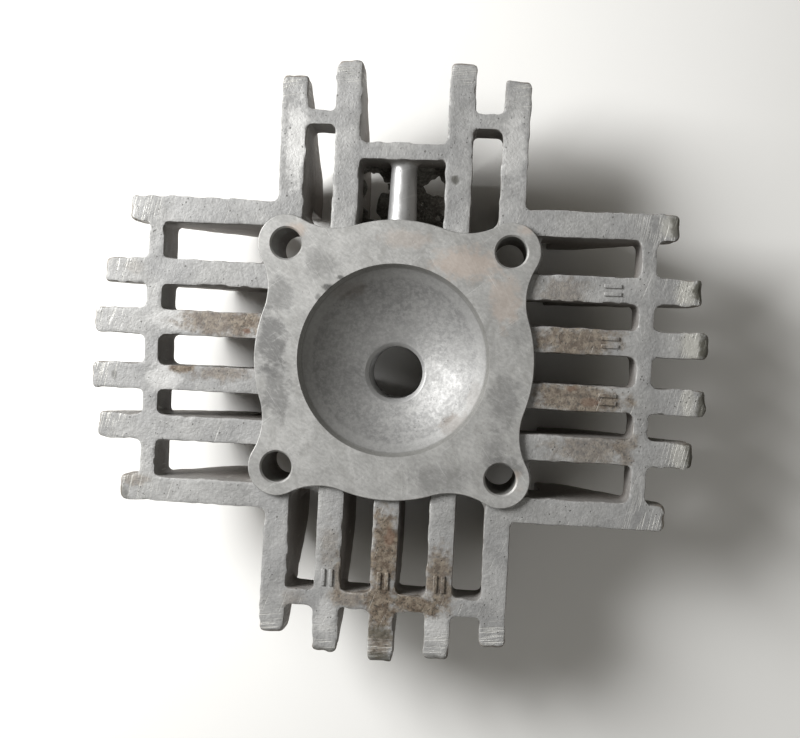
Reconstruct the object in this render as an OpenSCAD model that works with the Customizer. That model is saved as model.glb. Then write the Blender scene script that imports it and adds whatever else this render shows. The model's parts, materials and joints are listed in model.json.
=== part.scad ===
// Cylinder head of a small air-cooled engine: one casting, in named regions that meet face to face.
// Origin: centre of the stud pattern on the gasket face. +Z points out of the gasket face,
// towards the cylinder. The fins and the spark plug's boss are on the -Z side.

/* [Overall] */
// Height from the gasket face to the flat tops of the fins
head_h = 36; // [32:0.5:46]
// How far the gasket face stands proud of the fins
face_step = 1.5; // [0.5:0.1:3]
// Radius of the circle that the side fins' tips lie on
side_reach = 71.8; // [59:0.2:88]
// Radius of the circle that the top and bottom fins' tips lie on
cross_reach = 70.3; // [58:0.2:86]

/* [Gasket flange] */
// Diameter of the chamber's mouth
mouth_d = 44.5; // [36:0.5:54]
// Width of the sealing ring round the mouth
ring_w = 10.15; // [7:0.05:13]
// Thickness of the flange and its ears
flange_t = 8; // [6:0.5:10]
// Distance between neighbouring stud holes
stud_spacing = 52; // [48:0.5:64]
// Diameter of a stud hole
stud_hole_d = 7.1; // [5.5:0.1:8.6]
// Radius of the ear round each stud hole
ear_r = 6.7; // [5.8:0.1:8.2]
// Radius of the hollow curve between an ear and the ring
ear_fillet_r = 15; // [10:0.5:18]
// Chamfer on the gasket side of a stud hole
stud_chamfer = 0.4; // [0.1:0.05:0.8]

/* [Combustion chamber] */
// Depth of the bowl below the gasket face
bowl_depth = 11; // [8:0.5:13]
// Depth of the steep lip at the bowl's mouth
lip_h = 1.6; // [0.8:0.1:2.5]
// How much the lip narrows over its depth, on the radius
lip_taper = 0.7; // [0.2:0.1:1.5]
// Wall behind the bowl
dome_wall = 9; // [6:0.5:11]

/* [Spark plug] */
// Wall diameter of the tapped plug hole
plug_hole_d = 12.8; // [10.8:0.1:15]
// Length of the plug hole, from the bowl to the plug's seat
plug_reach = 12.7; // [9.5:0.1:15]
// How far the plug hole lies from the chamber's axis, towards the bottom fins
plug_offset = 3; // [0:0.1:5]
// Diameter of the plug's boss
plug_boss_d = 25; // [21:0.5:28]
// Clearance diameter round the plug for its spanner
plug_well_d = 30; // [28.5:0.5:34]
// Chamfer at both ends of the plug hole
plug_chamfer = 0.8; // [0.3:0.1:1.2]

/* [Stud columns] */
// Depth of the nut seats below the gasket face
nut_seat_depth = 18.6; // [14:0.2:22]
// Diameter of a stud column
column_d = 14.4; // [13:0.2:17]
// Room kept free beside the studs' axes for the nuts and their spanner
nut_room = 10; // [8:0.5:12]
// Thickness of the rib from a column to the dome
column_rib_t = 8; // [5:0.5:10]
// Depth of that rib below the gasket face
column_rib_depth = 15; // [11:0.5:18]

/* [Fins] */
// Thickness of a fin at the gasket side
fin_t = 6; // [4.8:0.1:7.2]
// Thickness of a fin at its flat top
fin_top_t = 4.6; // [3.6:0.1:5.6]
// Distance of the inner side fins from the middle
inner_row_y = 6.5; // [5.4:0.1:7.8]
// Distance of the middle side fins from the middle
middle_row_y = 18.4; // [17:0.1:19.5]
// Distance of the outer side fins beyond the stud holes
outer_row_past_stud = 7; // [5.8:0.1:8.4]
// Distance of the inner top and bottom fins from the middle
inner_column_x = 13.1; // [12:0.1:14]
// Distance of the outer top and bottom fins short of the stud holes
outer_column_short_of_stud = 0.2; // [0:0.1:2]
// Height of a fin's upright tip face
fin_tip_h = 6; // [4:0.5:8]
// Radius of the upright corners of a fin's tip
tip_round_r = 1.2; // [0.6:0.1:1.8]
// Length over which a fin's outer edge slopes up to its full height
fin_slope_run = 22; // [16:0.5:26]
// Radius where the slope meets the flat top
fin_shoulder_r = 8; // [2:0.5:10]
// Number of flats on that rounded shoulder
shoulder_flats = 6; // [3:1:12]

/* [Webs] */
// Thickness of the side webs
side_web_t = 3.6; // [2.8:0.1:4.6]
// Distance of the side webs' middle in from the tip circle
side_web_inset = 14.6; // [12:0.1:18]
// Height of the side webs
side_web_h = 13; // [10:0.5:16]
// Thickness of the bottom web
bottom_web_t = 4; // [3:0.1:5]
// Distance of the bottom web's middle in from the tip circle
bottom_web_inset = 13.9; // [12:0.1:18]
// Height of the bottom web
bottom_web_h = 12; // [9:0.5:14]
// Thickness of the two top webs
top_web_t = 3.3; // [2.6:0.1:4.2]
// Distance of the top webs' middle in from the tip circle
top_web_inset = 14.6; // [12:0.1:18]
// Height of the two top webs
top_web_h = 13; // [10:0.5:16]
// Thickness of the bridge over the pocket
bridge_t = 3.9; // [3:0.1:5]
// Distance of the bridge's middle in from the tip circle
bridge_inset = 21.9; // [19:0.1:25]
// Height of the bridge
bridge_h = 16; // [12:0.5:20]
// How much a web narrows from the gasket side to its far edge
web_draft = 0.9; // [0.2:0.1:1.4]

/* [Pocket] */
// Diameter of the tie post where it leaves the flange
post_root_d = 7.1; // [5.9:0.1:8.6]
// Diameter of the tie post where it meets the bridge
post_end_d = 5.8; // [4.8:0.1:7]
// Depth of the post's axis below the gasket face
post_depth = 6.6; // [6:0.1:8]
// Sideways place of the post
post_x = 0.1; // [-2:0.1:2]
// Thickness of the flash left in the pocket
flash_t = 1; // [0.6:0.1:1.6]
// Depth of the flash below the gasket face
flash_depth = 14; // [12:0.5:15]

/* [Foundry marks] */
// Distance of the raised bars in from the side fins' tip circle
mark_inset = 22.5; // [20:0.5:26]
// Length of a raised bar
mark_l = 4; // [3:0.1:4.8]
// Width of a raised bar
mark_w = 0.9; // [0.6:0.1:1.2]
// Height of a raised bar
mark_h = 0.45; // [0.2:0.05:0.6]

/* [Hidden] */
$fn = 96;

cast_color = [0.66, 0.66, 0.64];
faced_color = [0.74, 0.73, 0.69];
bowl_color = [0.60, 0.60, 0.58];

stud_xy = stud_spacing / 2;
mouth_r = mouth_d / 2;
flange_r = mouth_r + ring_w;
column_r = column_d / 2;
fin_near_z = -face_step;
seat_z = -nut_seat_depth;
plug_seat_z = -bowl_depth - plug_reach;

// Bowl: part of a sphere that passes through the foot of the lip and the bowl's bottom
lip_foot_r = mouth_r - lip_taper;
bowl_rise = bowl_depth - lip_h;
bowl_sphere_r = (lip_foot_r * lip_foot_r + bowl_rise * bowl_rise) / (2 * bowl_rise);
bowl_centre_z = bowl_sphere_r - bowl_depth;
dome_sphere_r = bowl_sphere_r + dome_wall;

// Places of the fins, from top to bottom and from left to right
outer_row_y = stud_xy + outer_row_past_stud;
outer_column_x = stud_xy - outer_column_short_of_stud;
row_y = [outer_row_y, middle_row_y, inner_row_y, -inner_row_y, -middle_row_y, -outer_row_y];
column_x = [-outer_column_x, -inner_column_x, 0, inner_column_x, outer_column_x];

nut_room_edge = stud_xy + nut_room;

side_web_x = side_reach - side_web_inset;
bottom_web_y = cross_reach - bottom_web_inset;
top_web_y = cross_reach - top_web_inset;
bridge_y = cross_reach - bridge_inset;

far = 200;   // longer than the part, for cutting shapes
skin = 0.01; // how far a cutting shape reaches past the face it cuts

// ---------- outlines and cutting shapes ----------

// Neck between the ring and the ear on the +X +Y side, with a hollow curve on each flank
module ear_neck() {
  reach = stud_xy * sqrt(2);
  a = flange_r + ear_fillet_r;
  b = ear_r + ear_fillet_r;
  turn = acos((reach * reach + a * a - b * b) / (2 * reach * a));
  hollows = [for (side = [-1, 1]) a * [cos(45 + side * turn), sin(45 + side * turn)]];
  difference() {
    polygon([[0, 0], hollows[0], [stud_xy, stud_xy], hollows[1]]);
    for (hollow = hollows) translate(hollow) circle(r = ear_fillet_r);
  }
}

module flange_outline() {
  circle(r = flange_r);
  for (quarter = [0:3]) rotate(quarter * 90) {
    translate([stud_xy, stud_xy]) circle(r = ear_r);
    ear_neck();
  }
}

module flange_shape() {
  translate([0, 0, -flange_t]) linear_extrude(height = flange_t) flange_outline();
}

module at_studs() {
  for (x = [-1, 1], y = [-1, 1]) translate([x * stud_xy, y * stud_xy, 0]) children();
}

module stud_holes() {
  at_studs() {
    translate([0, 0, seat_z - 1]) cylinder(d = stud_hole_d, h = nut_seat_depth + 2);
    translate([0, 0, -stud_chamfer])
      cylinder(d1 = stud_hole_d, d2 = stud_hole_d + 4 * stud_chamfer, h = 2 * stud_chamfer);
  }
}

// Room inside the chamber: a steep lip and a spherical bowl
module chamber_space() {
  rotate_extrude() union() {
    polygon([
      [0, skin], [mouth_r, skin], [mouth_r, 0], [lip_foot_r, -lip_h], [0, -lip_h]
    ]);
    intersection() {
      translate([0, bowl_centre_z]) circle(r = bowl_sphere_r);
      translate([0, -bowl_depth - 1]) square([mouth_r, bowl_depth + 1 - lip_h]);
    }
  }
}

// Outside of the chamber's wall, from inside the flange down
module dome_shape() {
  intersection() {
    translate([0, 0, bowl_centre_z]) sphere(r = dome_sphere_r);
    translate([-flange_r, -flange_r, plug_seat_z])
      cube([2 * flange_r, 2 * flange_r, -plug_seat_z - flange_t / 2]);
  }
}

module plug_boss_shape() {
  translate([0, -plug_offset, plug_seat_z]) cylinder(d = plug_boss_d, h = plug_reach + bowl_depth);
}

module plug_hole() {
  translate([0, -plug_offset, 0]) {
    translate([0, 0, plug_seat_z - 1]) cylinder(d = plug_hole_d, h = plug_reach + bowl_depth);
    translate([0, 0, -bowl_depth - plug_chamfer])
      cylinder(d1 = plug_hole_d, d2 = plug_hole_d + 4 * plug_chamfer, h = 2 * plug_chamfer);
    translate([0, 0, plug_seat_z - plug_chamfer])
      cylinder(d1 = plug_hole_d + 4 * plug_chamfer, d2 = plug_hole_d, h = 2 * plug_chamfer);
  }
}

module plug_well() {
  translate([0, -plug_offset, -far]) cylinder(d = plug_well_d, h = far + plug_seat_z);
}

// Stud column on the side x, y = 1 or -1, with its rib to the dome, from inside the flange down
module column_shape(x, y) {
  rib_start = flange_r / 2;
  translate([x * stud_xy, y * stud_xy, seat_z]) cylinder(r = column_r, h = nut_seat_depth - flange_t / 2);
  rotate(atan2(y, x))
    translate([rib_start, -column_rib_t / 2, -column_rib_depth])
      cube([stud_xy * sqrt(2) - rib_start, column_rib_t, column_rib_depth - flange_t / 2]);
}

// Everything solid that the fins and webs end against
module hub_shape() {
  flange_shape();
  dome_shape();
  plug_boss_shape();
  for (x = [-1, 1], y = [-1, 1]) column_shape(x, y);
}

// ---------- fins ----------

// Tapered slab along +X, as wide at the gasket side as fin_t and at the top as fin_top_t
module fin_slab(length) {
  rotate([90, 0, 90]) linear_extrude(height = length) polygon([
    [-fin_t / 2, fin_near_z], [fin_t / 2, fin_near_z],
    [fin_top_t / 2, -head_h], [-fin_top_t / 2, -head_h]
  ]);
}

// Side view of a fin: upright tip face, slope, rounded shoulder and flat top. The outline runs past the
// middle, because the inner end is cut in plan.
module fin_profile(tip) {
  slope = atan2(head_h + fin_near_z - fin_tip_h, fin_slope_run);
  shoulder_x = tip - fin_slope_run - fin_shoulder_r * tan(slope / 2);
  shoulder = [for (i = [0:shoulder_flats]) let (a = -90 + slope * (1 - i / shoulder_flats))
    [shoulder_x + fin_shoulder_r * cos(a), -head_h + fin_shoulder_r + fin_shoulder_r * sin(a)]];
  polygon(concat(
    [[-tip, fin_near_z], [tip, fin_near_z], [tip, fin_near_z - fin_tip_h]],
    shoulder,
    [[-tip, -head_h]]
  ));
}

// Plan view of a fin along +X: straight sides and a square tip with rounded corners
module fin_plan(start, tip) {
  translate([start, -fin_t / 2]) square([tip - tip_round_r - start, fin_t]);
  translate([start, tip_round_r - fin_t / 2]) square([tip - start, fin_t - 2 * tip_round_r]);
  for (side = [-1, 1]) translate([tip - tip_round_r, side * (fin_t / 2 - tip_round_r)]) circle(r = tip_round_r);
}

// Fin along +X at the distance offset to its side, from start to a square tip on the tip circle
module fin_blank(offset, start, reach) {
  tip = sqrt(reach * reach - offset * offset);
  translate([0, offset, 0]) intersection() {
    fin_slab(reach);
    translate([0, fin_t, 0]) rotate([90, 0, 0]) linear_extrude(height = 2 * fin_t) fin_profile(tip);
    translate([0, 0, -head_h - 1]) linear_extrude(height = head_h + 1) fin_plan(start, tip);
  }
}

// Whether a fin at this distance from the middle passes a stud's nut
function near_studs(offset) = abs(offset) > stud_xy - nut_room;

// Room for the stud nuts and their spanner
module nut_room_cut() {
  translate([-nut_room_edge, -nut_room_edge, -far])
    cube([2 * nut_room_edge, 2 * nut_room_edge, far + seat_z + skin]);
}

// Slabs of the fins that run the other way, for cutting what ends against them
module row_slabs(rows) {
  for (y = rows) translate([-far / 2, y, 0]) fin_slab(far);
}

module column_slabs(columns) {
  for (x = columns) translate([x, -far / 2, 0]) rotate(90) fin_slab(far);
}

// Side fin; side = 1 to the right and -1 to the left
module side_fin(side, y) {
  color(cast_color) difference() {
    mirror([side < 0 ? 1 : 0, 0, 0]) fin_blank(y, side_fin_start(y), side_reach);
    hub_shape();
    plug_well();
    if (near_studs(y)) nut_room_cut();
    if (abs(y) == outer_row_y) column_slabs([side * outer_column_x]);
  }
}

// Where a side fin starts: in the outer column's slab, at the sealing ring's edge, or at the well
function side_fin_start(y) =
  abs(y) == outer_row_y ? outer_column_x
  : abs(y) == middle_row_y ? sqrt(flange_r * flange_r - y * y)
  : 1;

// Top or bottom fin; side = 1 to the top and -1 to the bottom
module cross_fin(side, x) {
  color(cast_color) difference() {
    mirror([0, side < 0 ? 1 : 0, 0]) rotate(90) fin_blank(-x, cross_fin_start(x), cross_reach);
    hub_shape();
    plug_well();
    if (near_studs(x)) nut_room_cut();
    if (abs(x) == inner_column_x) row_slabs([side * inner_row_y]);
  }
}

// Where a top or bottom fin starts: in the stud column, in the inner row's slab, or at the well
function cross_fin_start(x) =
  abs(x) == outer_column_x ? stud_xy + ear_r / 2 : abs(x) == inner_column_x ? inner_row_y : 1;

// ---------- webs ----------

// Tapered bar along +X, h high, t thick at the gasket side
module web_bar(length, t, h) {
  rotate([90, 0, 90]) linear_extrude(height = length) polygon([
    [-t / 2, fin_near_z], [t / 2, fin_near_z],
    [(t - web_draft) / 2, fin_near_z - h], [-(t - web_draft) / 2, fin_near_z - h]
  ]);
}

// Web across the side fins; side = 1 to the right and -1 to the left
module side_web(side) {
  color(cast_color) difference() {
    translate([side * side_web_x, -outer_row_y, 0]) rotate(90) web_bar(2 * outer_row_y, side_web_t, side_web_h);
    row_slabs(row_y);
  }
}

// Web across the top or bottom fins, from x0 to x1
module cross_web(y, x0, x1, t, h, columns) {
  color(cast_color) difference() {
    translate([x0, y, 0]) web_bar(x1 - x0, t, h);
    column_slabs(columns);
  }
}

// ---------- parts ----------

module gasket_flange() {
  color(faced_color) difference() {
    flange_shape();
    chamber_space();
    stud_holes();
  }
}

module chamber_dome() {
  color(bowl_color) difference() {
    dome_shape();
    flange_shape();
    chamber_space();
    plug_boss_shape();
  }
}

module plug_boss() {
  color(faced_color) difference() {
    plug_boss_shape();
    flange_shape();
    chamber_space();
    plug_hole();
  }
}

module stud_column(x, y) {
  color(cast_color) difference() {
    column_shape(x, y);
    flange_shape();
    dome_shape();
    stud_holes();
  }
}

module tie_post() {
  start_y = flange_r / 2;
  end_y = bridge_y - bridge_t / 2 + web_draft;
  narrowing = (post_root_d - post_end_d) / (end_y - flange_r);
  color(faced_color) difference() {
    translate([post_x, start_y, -post_depth]) rotate([-90, 0, 0])
      cylinder(d1 = post_root_d + narrowing * (flange_r - start_y), d2 = post_end_d, h = end_y - start_y);
    hub_shape();
    translate([-far / 2, bridge_y, 0]) web_bar(far, bridge_t, bridge_h);
  }
}

// Torn sheet across the pocket, with a hole on each side of the post
module pocket_flash() {
  pocket_x = inner_column_x;
  start_y = flange_r - 4;
  color(cast_color) difference() {
    translate([-pocket_x, start_y, -flash_depth - flash_t])
      cube([2 * pocket_x, bridge_y - start_y, flash_t]);
    hub_shape();
    column_slabs([-pocket_x, pocket_x]);
    translate([-far / 2, bridge_y, 0]) web_bar(far, bridge_t, bridge_h);
    translate([0, flange_r, -flash_depth - 2 * flash_t]) linear_extrude(height = 4 * flash_t) {
      polygon([[-9.4, 1.8], [-9.7, 12.2], [-7.5, 13], [-4.4, 10.6], [-6, 8.2], [-6.8, 5], [-6.2, 1.6]]);
      polygon([[4.4, 9.8], [8.2, 11.9], [9.5, 11], [9.3, 7.8], [6.5, 7.4]]);
    }
  }
}

// Plain raised bars on the fins' near faces, in place of cast characters
module foundry_marks() {
  mark_reach = side_reach - mark_inset;
  color(cast_color) {
    for (y = [middle_row_y, inner_row_y, -inner_row_y], i = [-1, 1])
      translate([mark_reach - mark_l / 2, y + i * mark_w - mark_w / 2, fin_near_z]) cube([mark_l, mark_w, mark_h]);
    for (x = [-inner_column_x, 0, inner_column_x], i = [-1, 1])
      translate([x + i * mark_w - mark_w / 2, -mark_reach - mark_l, fin_near_z]) cube([mark_w, mark_l, mark_h]);
  }
}

gasket_flange();
chamber_dome();
plug_boss();
stud_column(-1, 1);  // stud_column_top_left
stud_column(1, 1);  // stud_column_top_right
stud_column(1, -1);  // stud_column_bottom_right
stud_column(-1, -1);  // stud_column_bottom_left
side_fin(-1, row_y[0]);  // left_fin_1
side_fin(-1, row_y[1]);  // left_fin_2
side_fin(-1, row_y[2]);  // left_fin_3
side_fin(-1, row_y[3]);  // left_fin_4
side_fin(-1, row_y[4]);  // left_fin_5
side_fin(-1, row_y[5]);  // left_fin_6
side_fin(1, row_y[0]);  // right_fin_1
side_fin(1, row_y[1]);  // right_fin_2
side_fin(1, row_y[2]);  // right_fin_3
side_fin(1, row_y[3]);  // right_fin_4
side_fin(1, row_y[4]);  // right_fin_5
side_fin(1, row_y[5]);  // right_fin_6
cross_fin(1, column_x[0]);  // top_fin_1
cross_fin(1, column_x[1]);  // top_fin_2
cross_fin(1, column_x[3]);  // top_fin_3
cross_fin(1, column_x[4]);  // top_fin_4
cross_fin(-1, column_x[0]);  // bottom_fin_1
cross_fin(-1, column_x[1]);  // bottom_fin_2
cross_fin(-1, column_x[2]);  // bottom_fin_3
cross_fin(-1, column_x[3]);  // bottom_fin_4
cross_fin(-1, column_x[4]);  // bottom_fin_5
side_web(-1);  // left_web
side_web(1);  // right_web
cross_web(-bottom_web_y, -outer_column_x, outer_column_x, bottom_web_t, bottom_web_h, column_x);  // bottom_web
cross_web(top_web_y, -outer_column_x, -inner_column_x, top_web_t, top_web_h, column_x);  // top_left_web
cross_web(top_web_y, inner_column_x, outer_column_x, top_web_t, top_web_h, column_x);  // top_right_web
cross_web(bridge_y, -inner_column_x, inner_column_x, bridge_t, bridge_h, [-inner_column_x, inner_column_x]);  // pocket_bridge
tie_post();
pocket_flash();
foundry_marks();
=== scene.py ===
"""Cylinder head of a small air-cooled engine: the casting's skin, its machined faces and a studio."""

import json
import math

import bmesh
import bpy
import numpy as np
import openvdb
from mathutils import Matrix, Vector

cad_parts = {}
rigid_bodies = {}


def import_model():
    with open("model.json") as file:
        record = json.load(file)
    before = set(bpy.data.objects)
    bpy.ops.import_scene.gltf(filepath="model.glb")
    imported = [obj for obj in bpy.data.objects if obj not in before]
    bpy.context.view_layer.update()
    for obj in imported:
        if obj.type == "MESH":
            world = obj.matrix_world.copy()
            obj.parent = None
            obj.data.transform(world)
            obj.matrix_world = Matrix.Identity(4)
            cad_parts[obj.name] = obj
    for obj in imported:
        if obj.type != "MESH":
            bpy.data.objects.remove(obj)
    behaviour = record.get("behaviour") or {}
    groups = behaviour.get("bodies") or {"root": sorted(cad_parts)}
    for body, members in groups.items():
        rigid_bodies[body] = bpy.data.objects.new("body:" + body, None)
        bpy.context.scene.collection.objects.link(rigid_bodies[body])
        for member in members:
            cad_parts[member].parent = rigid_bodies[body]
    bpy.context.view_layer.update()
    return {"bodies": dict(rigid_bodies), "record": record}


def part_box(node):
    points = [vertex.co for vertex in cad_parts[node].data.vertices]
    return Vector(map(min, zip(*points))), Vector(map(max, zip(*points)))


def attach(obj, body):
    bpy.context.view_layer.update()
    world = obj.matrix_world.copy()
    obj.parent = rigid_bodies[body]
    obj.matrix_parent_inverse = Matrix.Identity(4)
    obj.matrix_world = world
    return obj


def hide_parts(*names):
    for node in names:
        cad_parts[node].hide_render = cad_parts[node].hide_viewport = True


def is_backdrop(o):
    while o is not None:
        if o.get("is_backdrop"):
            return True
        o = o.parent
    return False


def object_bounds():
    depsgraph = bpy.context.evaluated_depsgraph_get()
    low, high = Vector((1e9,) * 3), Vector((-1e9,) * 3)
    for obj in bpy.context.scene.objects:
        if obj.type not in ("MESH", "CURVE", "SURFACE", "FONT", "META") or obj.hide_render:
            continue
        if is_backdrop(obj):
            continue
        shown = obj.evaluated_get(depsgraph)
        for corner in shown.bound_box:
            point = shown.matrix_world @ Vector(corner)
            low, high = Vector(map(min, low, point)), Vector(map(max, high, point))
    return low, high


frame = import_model()

bl_info = {
    "name": "Cast cylinder head",
    "version": (1, 0, 0),
    "blender": (4, 5, 0),
    "location": "3D View > Sidebar > Head",
    "description": "Builds a finned cylinder head with cast and machined finishes",
    "category": "Add Mesh",
}

MM = 0.001
SIDES = {"left": -1, "right": 1, "top": 1, "bottom": -1}
CORNERS = {
    "top_left": (-1, 1),
    "top_right": (1, 1),
    "bottom_right": (1, -1),
    "bottom_left": (-1, -1),
}
# How far the rough skin stays behind a machined face, in millimetres
HIDDEN = 0.3
# How far a piece of the skin reaches into its neighbour in the hub, in millimetres
LAP = 0.5
# How far the rough skin may stand off its plain shape, in millimetres
SKIN_ROOM = 0.35
# How far from a stud's line a fin starts at its column, in millimetres
STUD_ZONE = 10
SIDE_FINS = 6
TOP_FINS = 4
BOTTOM_FINS = 5
# Each web's node and the axis that it stands across
WEBS = {
    "left_web": 0,
    "right_web": 0,
    "bottom_web": 1,
    "top_left_web": 1,
    "top_right_web": 1,
    "pocket_bridge": 1,
}

MOUNTS = {mount["name"]: mount for mount in frame["record"]["mounts"]}
BODY = next(iter(frame["bodies"]))


# ---------- sizes that come from the frame, in millimetres ----------


def corners(node):
    """Lowest and highest corner of a CAD node."""
    low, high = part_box(node)
    return np.array(low) / MM, np.array(high) / MM


def mount_place(name):
    """Where a mount lies."""
    return np.array(MOUNTS[name]["pos_m"]) / MM


def mount_radius(name):
    """A round mount's radius."""
    return MOUNTS[name]["dims"]["r_mm"]


class Head:
    """The head's main sizes in millimetres, read from the frame and the panel's values."""

    def __init__(self, sizes):
        flange_low, flange_high = corners("gasket_flange")
        fin_low, fin_high = corners("left_fin_3")
        top_low, top_high = corners("top_fin_2")
        column_low, column_high = corners("stud_column_top_right")
        self.flange_t = flange_high[2] - flange_low[2]
        self.near_z = fin_high[2]
        self.top_z = fin_low[2]
        self.side_reach = math.hypot(fin_low[0], (fin_low[1] + fin_high[1]) / 2)
        self.fin_half = (fin_high[1] - fin_low[1]) / 2
        self.fin_top_half = sizes.fin_top_thickness / MM / 2
        self.cross_reach = math.hypot(top_high[1], (top_low[0] + top_high[0]) / 2)
        self.stud = mount_place("stud_hole_top_right")[0]
        self.stud_r = mount_radius("stud_hole_top_right")
        self.ear_r = flange_high[0] - self.stud
        self.seat_z = column_low[2]
        self.column_r = column_high[0] - self.stud
        self.plug = mount_place("plug_hole")
        self.plug_r = mount_radius("plug_hole")
        self.plug_seat_z = mount_place("plug_seat")[2]
        boss_low, boss_high = corners("plug_boss")
        self.boss_r = (boss_high[0] - boss_low[0]) / 2
        self.mouth_r = sizes.mouth_radius / MM
        self.ring_r = sizes.ring_radius / MM
        self.hollow_r = sizes.ear_hollow_radius / MM
        self.lip_h = sizes.lip_height / MM
        self.lip_foot_r = self.mouth_r - sizes.lip_taper / MM
        self.bowl_depth = sizes.bowl_depth / MM
        rise = self.bowl_depth - self.lip_h
        self.bowl_r = (self.lip_foot_r**2 + rise**2) / (2 * rise)
        self.bowl_z = self.bowl_r - self.bowl_depth
        self.dome_r = self.bowl_r + sizes.dome_wall / MM
        self.nut_edge = sizes.nut_room_edge / MM
        self.well_r = sizes.plug_well_radius / MM
        self.rib_half = sizes.rib_thickness / MM / 2
        self.rib_z = -sizes.rib_depth / MM

    def beside_stud(self, offset):
        """Whether a fin at this offset runs past a stud column or outside it."""
        return abs(offset) > self.stud - STUD_ZONE

    def neck(self):
        """Angle from an ear's diagonal to the hollow curve's centre, and that centre's radius."""
        reach = self.stud * math.sqrt(2)
        to_ring = self.ring_r + self.hollow_r
        to_ear = self.ear_r + self.hollow_r
        turn = math.acos((reach**2 + to_ring**2 - to_ear**2) / (2 * reach * to_ring))
        return turn, to_ring


def fin_place(node, across):
    """Middle of a fin's thickness: across is 1 for side fins and 0 for top and bottom fins."""
    low, high = corners(node)
    return (low[across] + high[across]) / 2


# ---------- the casting as a grid of distances ----------


def soft_min(a, b, blend):
    """Smaller of two distances, with a rounded inner corner of about blend."""
    near = np.maximum(blend - np.abs(a - b), 0) / blend
    return np.minimum(a, b) - near * near * blend / 4


def soft_max(a, b, blend):
    """Larger of two distances, with a rounded outer corner of about blend."""
    return -soft_min(-a, -b, blend)


def lumps(counts, cell, seed):
    """Smooth random heights about zero on a grid of these counts, with bumps cell steps apart."""
    sample = np.random.default_rng(seed)
    heights = sample.standard_normal([int(n / cell) + 5 for n in counts]).astype(np.float32)
    for axis, n in enumerate(counts):
        place = np.arange(n, dtype=np.float32) / cell + 1
        first = place.astype(int)
        t = (place - first).reshape(-1, *[1] * (len(counts) - 1))
        weights = [(1 - t) ** 3, 3 * t**3 - 6 * t**2 + 4, -3 * t**3 + 3 * t**2 + 3 * t + 1, t**3]
        heights = np.moveaxis(heights, axis, 0)
        heights = sum(w / 6 * heights[first - 1 + k] for k, w in enumerate(weights))
        heights = np.moveaxis(heights, 0, axis)
    spread_left = 0.69 ** len(counts)
    return heights / spread_left


class Grid:
    """Distances in millimetres to a skin on a regular grid, negative inside the metal."""

    far = 4.0

    def __init__(self, low, high, pitch):
        self.pitch = pitch
        self.axes = [np.arange(a, b + pitch, pitch, dtype=np.float32) for a, b in zip(low, high)]
        self.distance = np.full([len(axis) for axis in self.axes], self.far, np.float32)

    def window(self, low, high):
        """The grid's part from low to high, and the places of its steps along each axis."""
        cuts = tuple(
            slice(*np.searchsorted(axis, (a - self.far, b + self.far)))
            for axis, a, b in zip(self.axes, low, high)
        )
        x, y, z = (axis[cut] for axis, cut in zip(self.axes, cuts))
        return cuts, x[:, None, None], y[None, :, None], z[None, None, :]

    def places(self):
        """The places of all steps along each axis, ready to be spread over the grid."""
        x, y, z = self.axes
        return x[:, None, None], y[None, :, None], z[None, None, :]

    def join(self, low, high, shape, blend):
        """Adds a shape that lies between low and high, with a fillet where it meets the rest."""
        cuts, x, y, z = self.window(low, high)
        added = np.minimum(shape(x, y, z), self.far)
        self.distance[cuts] = soft_min(self.distance[cuts], added, blend)

    def cut(self, low, high, shape):
        """Takes away a shape that lies between low and high, with sharp edges."""
        cuts, x, y, z = self.window(low, high)
        self.distance[cuts] = np.maximum(self.distance[cuts], -shape(x, y, z))

    def skin(self, low, high, limit=None):
        """Points and faces of the skin between low and high, with room round them for cutting."""
        cuts, x, y, z = self.window(low, high)
        part = self.distance[cuts]
        if limit is not None:
            part = np.maximum(part, limit(x, y, z))
        volume = openvdb.FloatGrid(background=self.far)
        volume.copyFromArray(np.ascontiguousarray(part, dtype=np.float32), tolerance=0.0)
        points, faces = volume.convertToQuads(isovalue=0.0)
        origin = np.array([x.flat[0], y.flat[0], z.flat[0]]) if len(points) else np.zeros(3)
        return points * self.pitch + origin, faces


def length(*sides):
    """Length of the vector with these sides."""
    return np.sqrt(sum(side * side for side in sides))


def fin_shape(head, sizes, across, side, offset, start, reach):
    """Distance to a fin that runs along X, or along Y where across is 0."""
    tip = math.sqrt(reach**2 - offset**2)
    bevel = sizes.tip_bevel / MM
    rise = head.near_z - head.top_z - sizes.tip_height / MM
    run = sizes.slope_run / MM
    slope = math.atan2(rise, run)
    edge_round = 0.8

    def shape(x, y, z):
        along, aside = (x, y) if across == 1 else (y, x)
        along = side * along
        depth = np.clip((head.near_z - z) / (head.near_z - head.top_z), 0, 1)
        half = head.fin_half + (head.fin_top_half - head.fin_half) * depth
        flank = np.abs(aside - offset) - half
        worn = (along - tip + z - head.near_z + bevel) / math.sqrt(2)
        end = soft_max(along - tip, worn, edge_round)
        plan = soft_max(flank, end, sizes.tip_round / MM)
        foot_z = head.near_z - sizes.tip_height / MM
        sloped = (along - tip) * math.sin(slope) - (z - foot_z) * math.cos(slope)
        profile = soft_max(sloped, head.top_z - z, sizes.shoulder_round / MM)
        fin = np.maximum(np.maximum(plan, profile), start - along)
        if head.beside_stud(offset):
            fin = np.maximum(fin, -np.maximum(along - head.nut_edge, z - head.seat_z))
        return fin

    return shape


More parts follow.
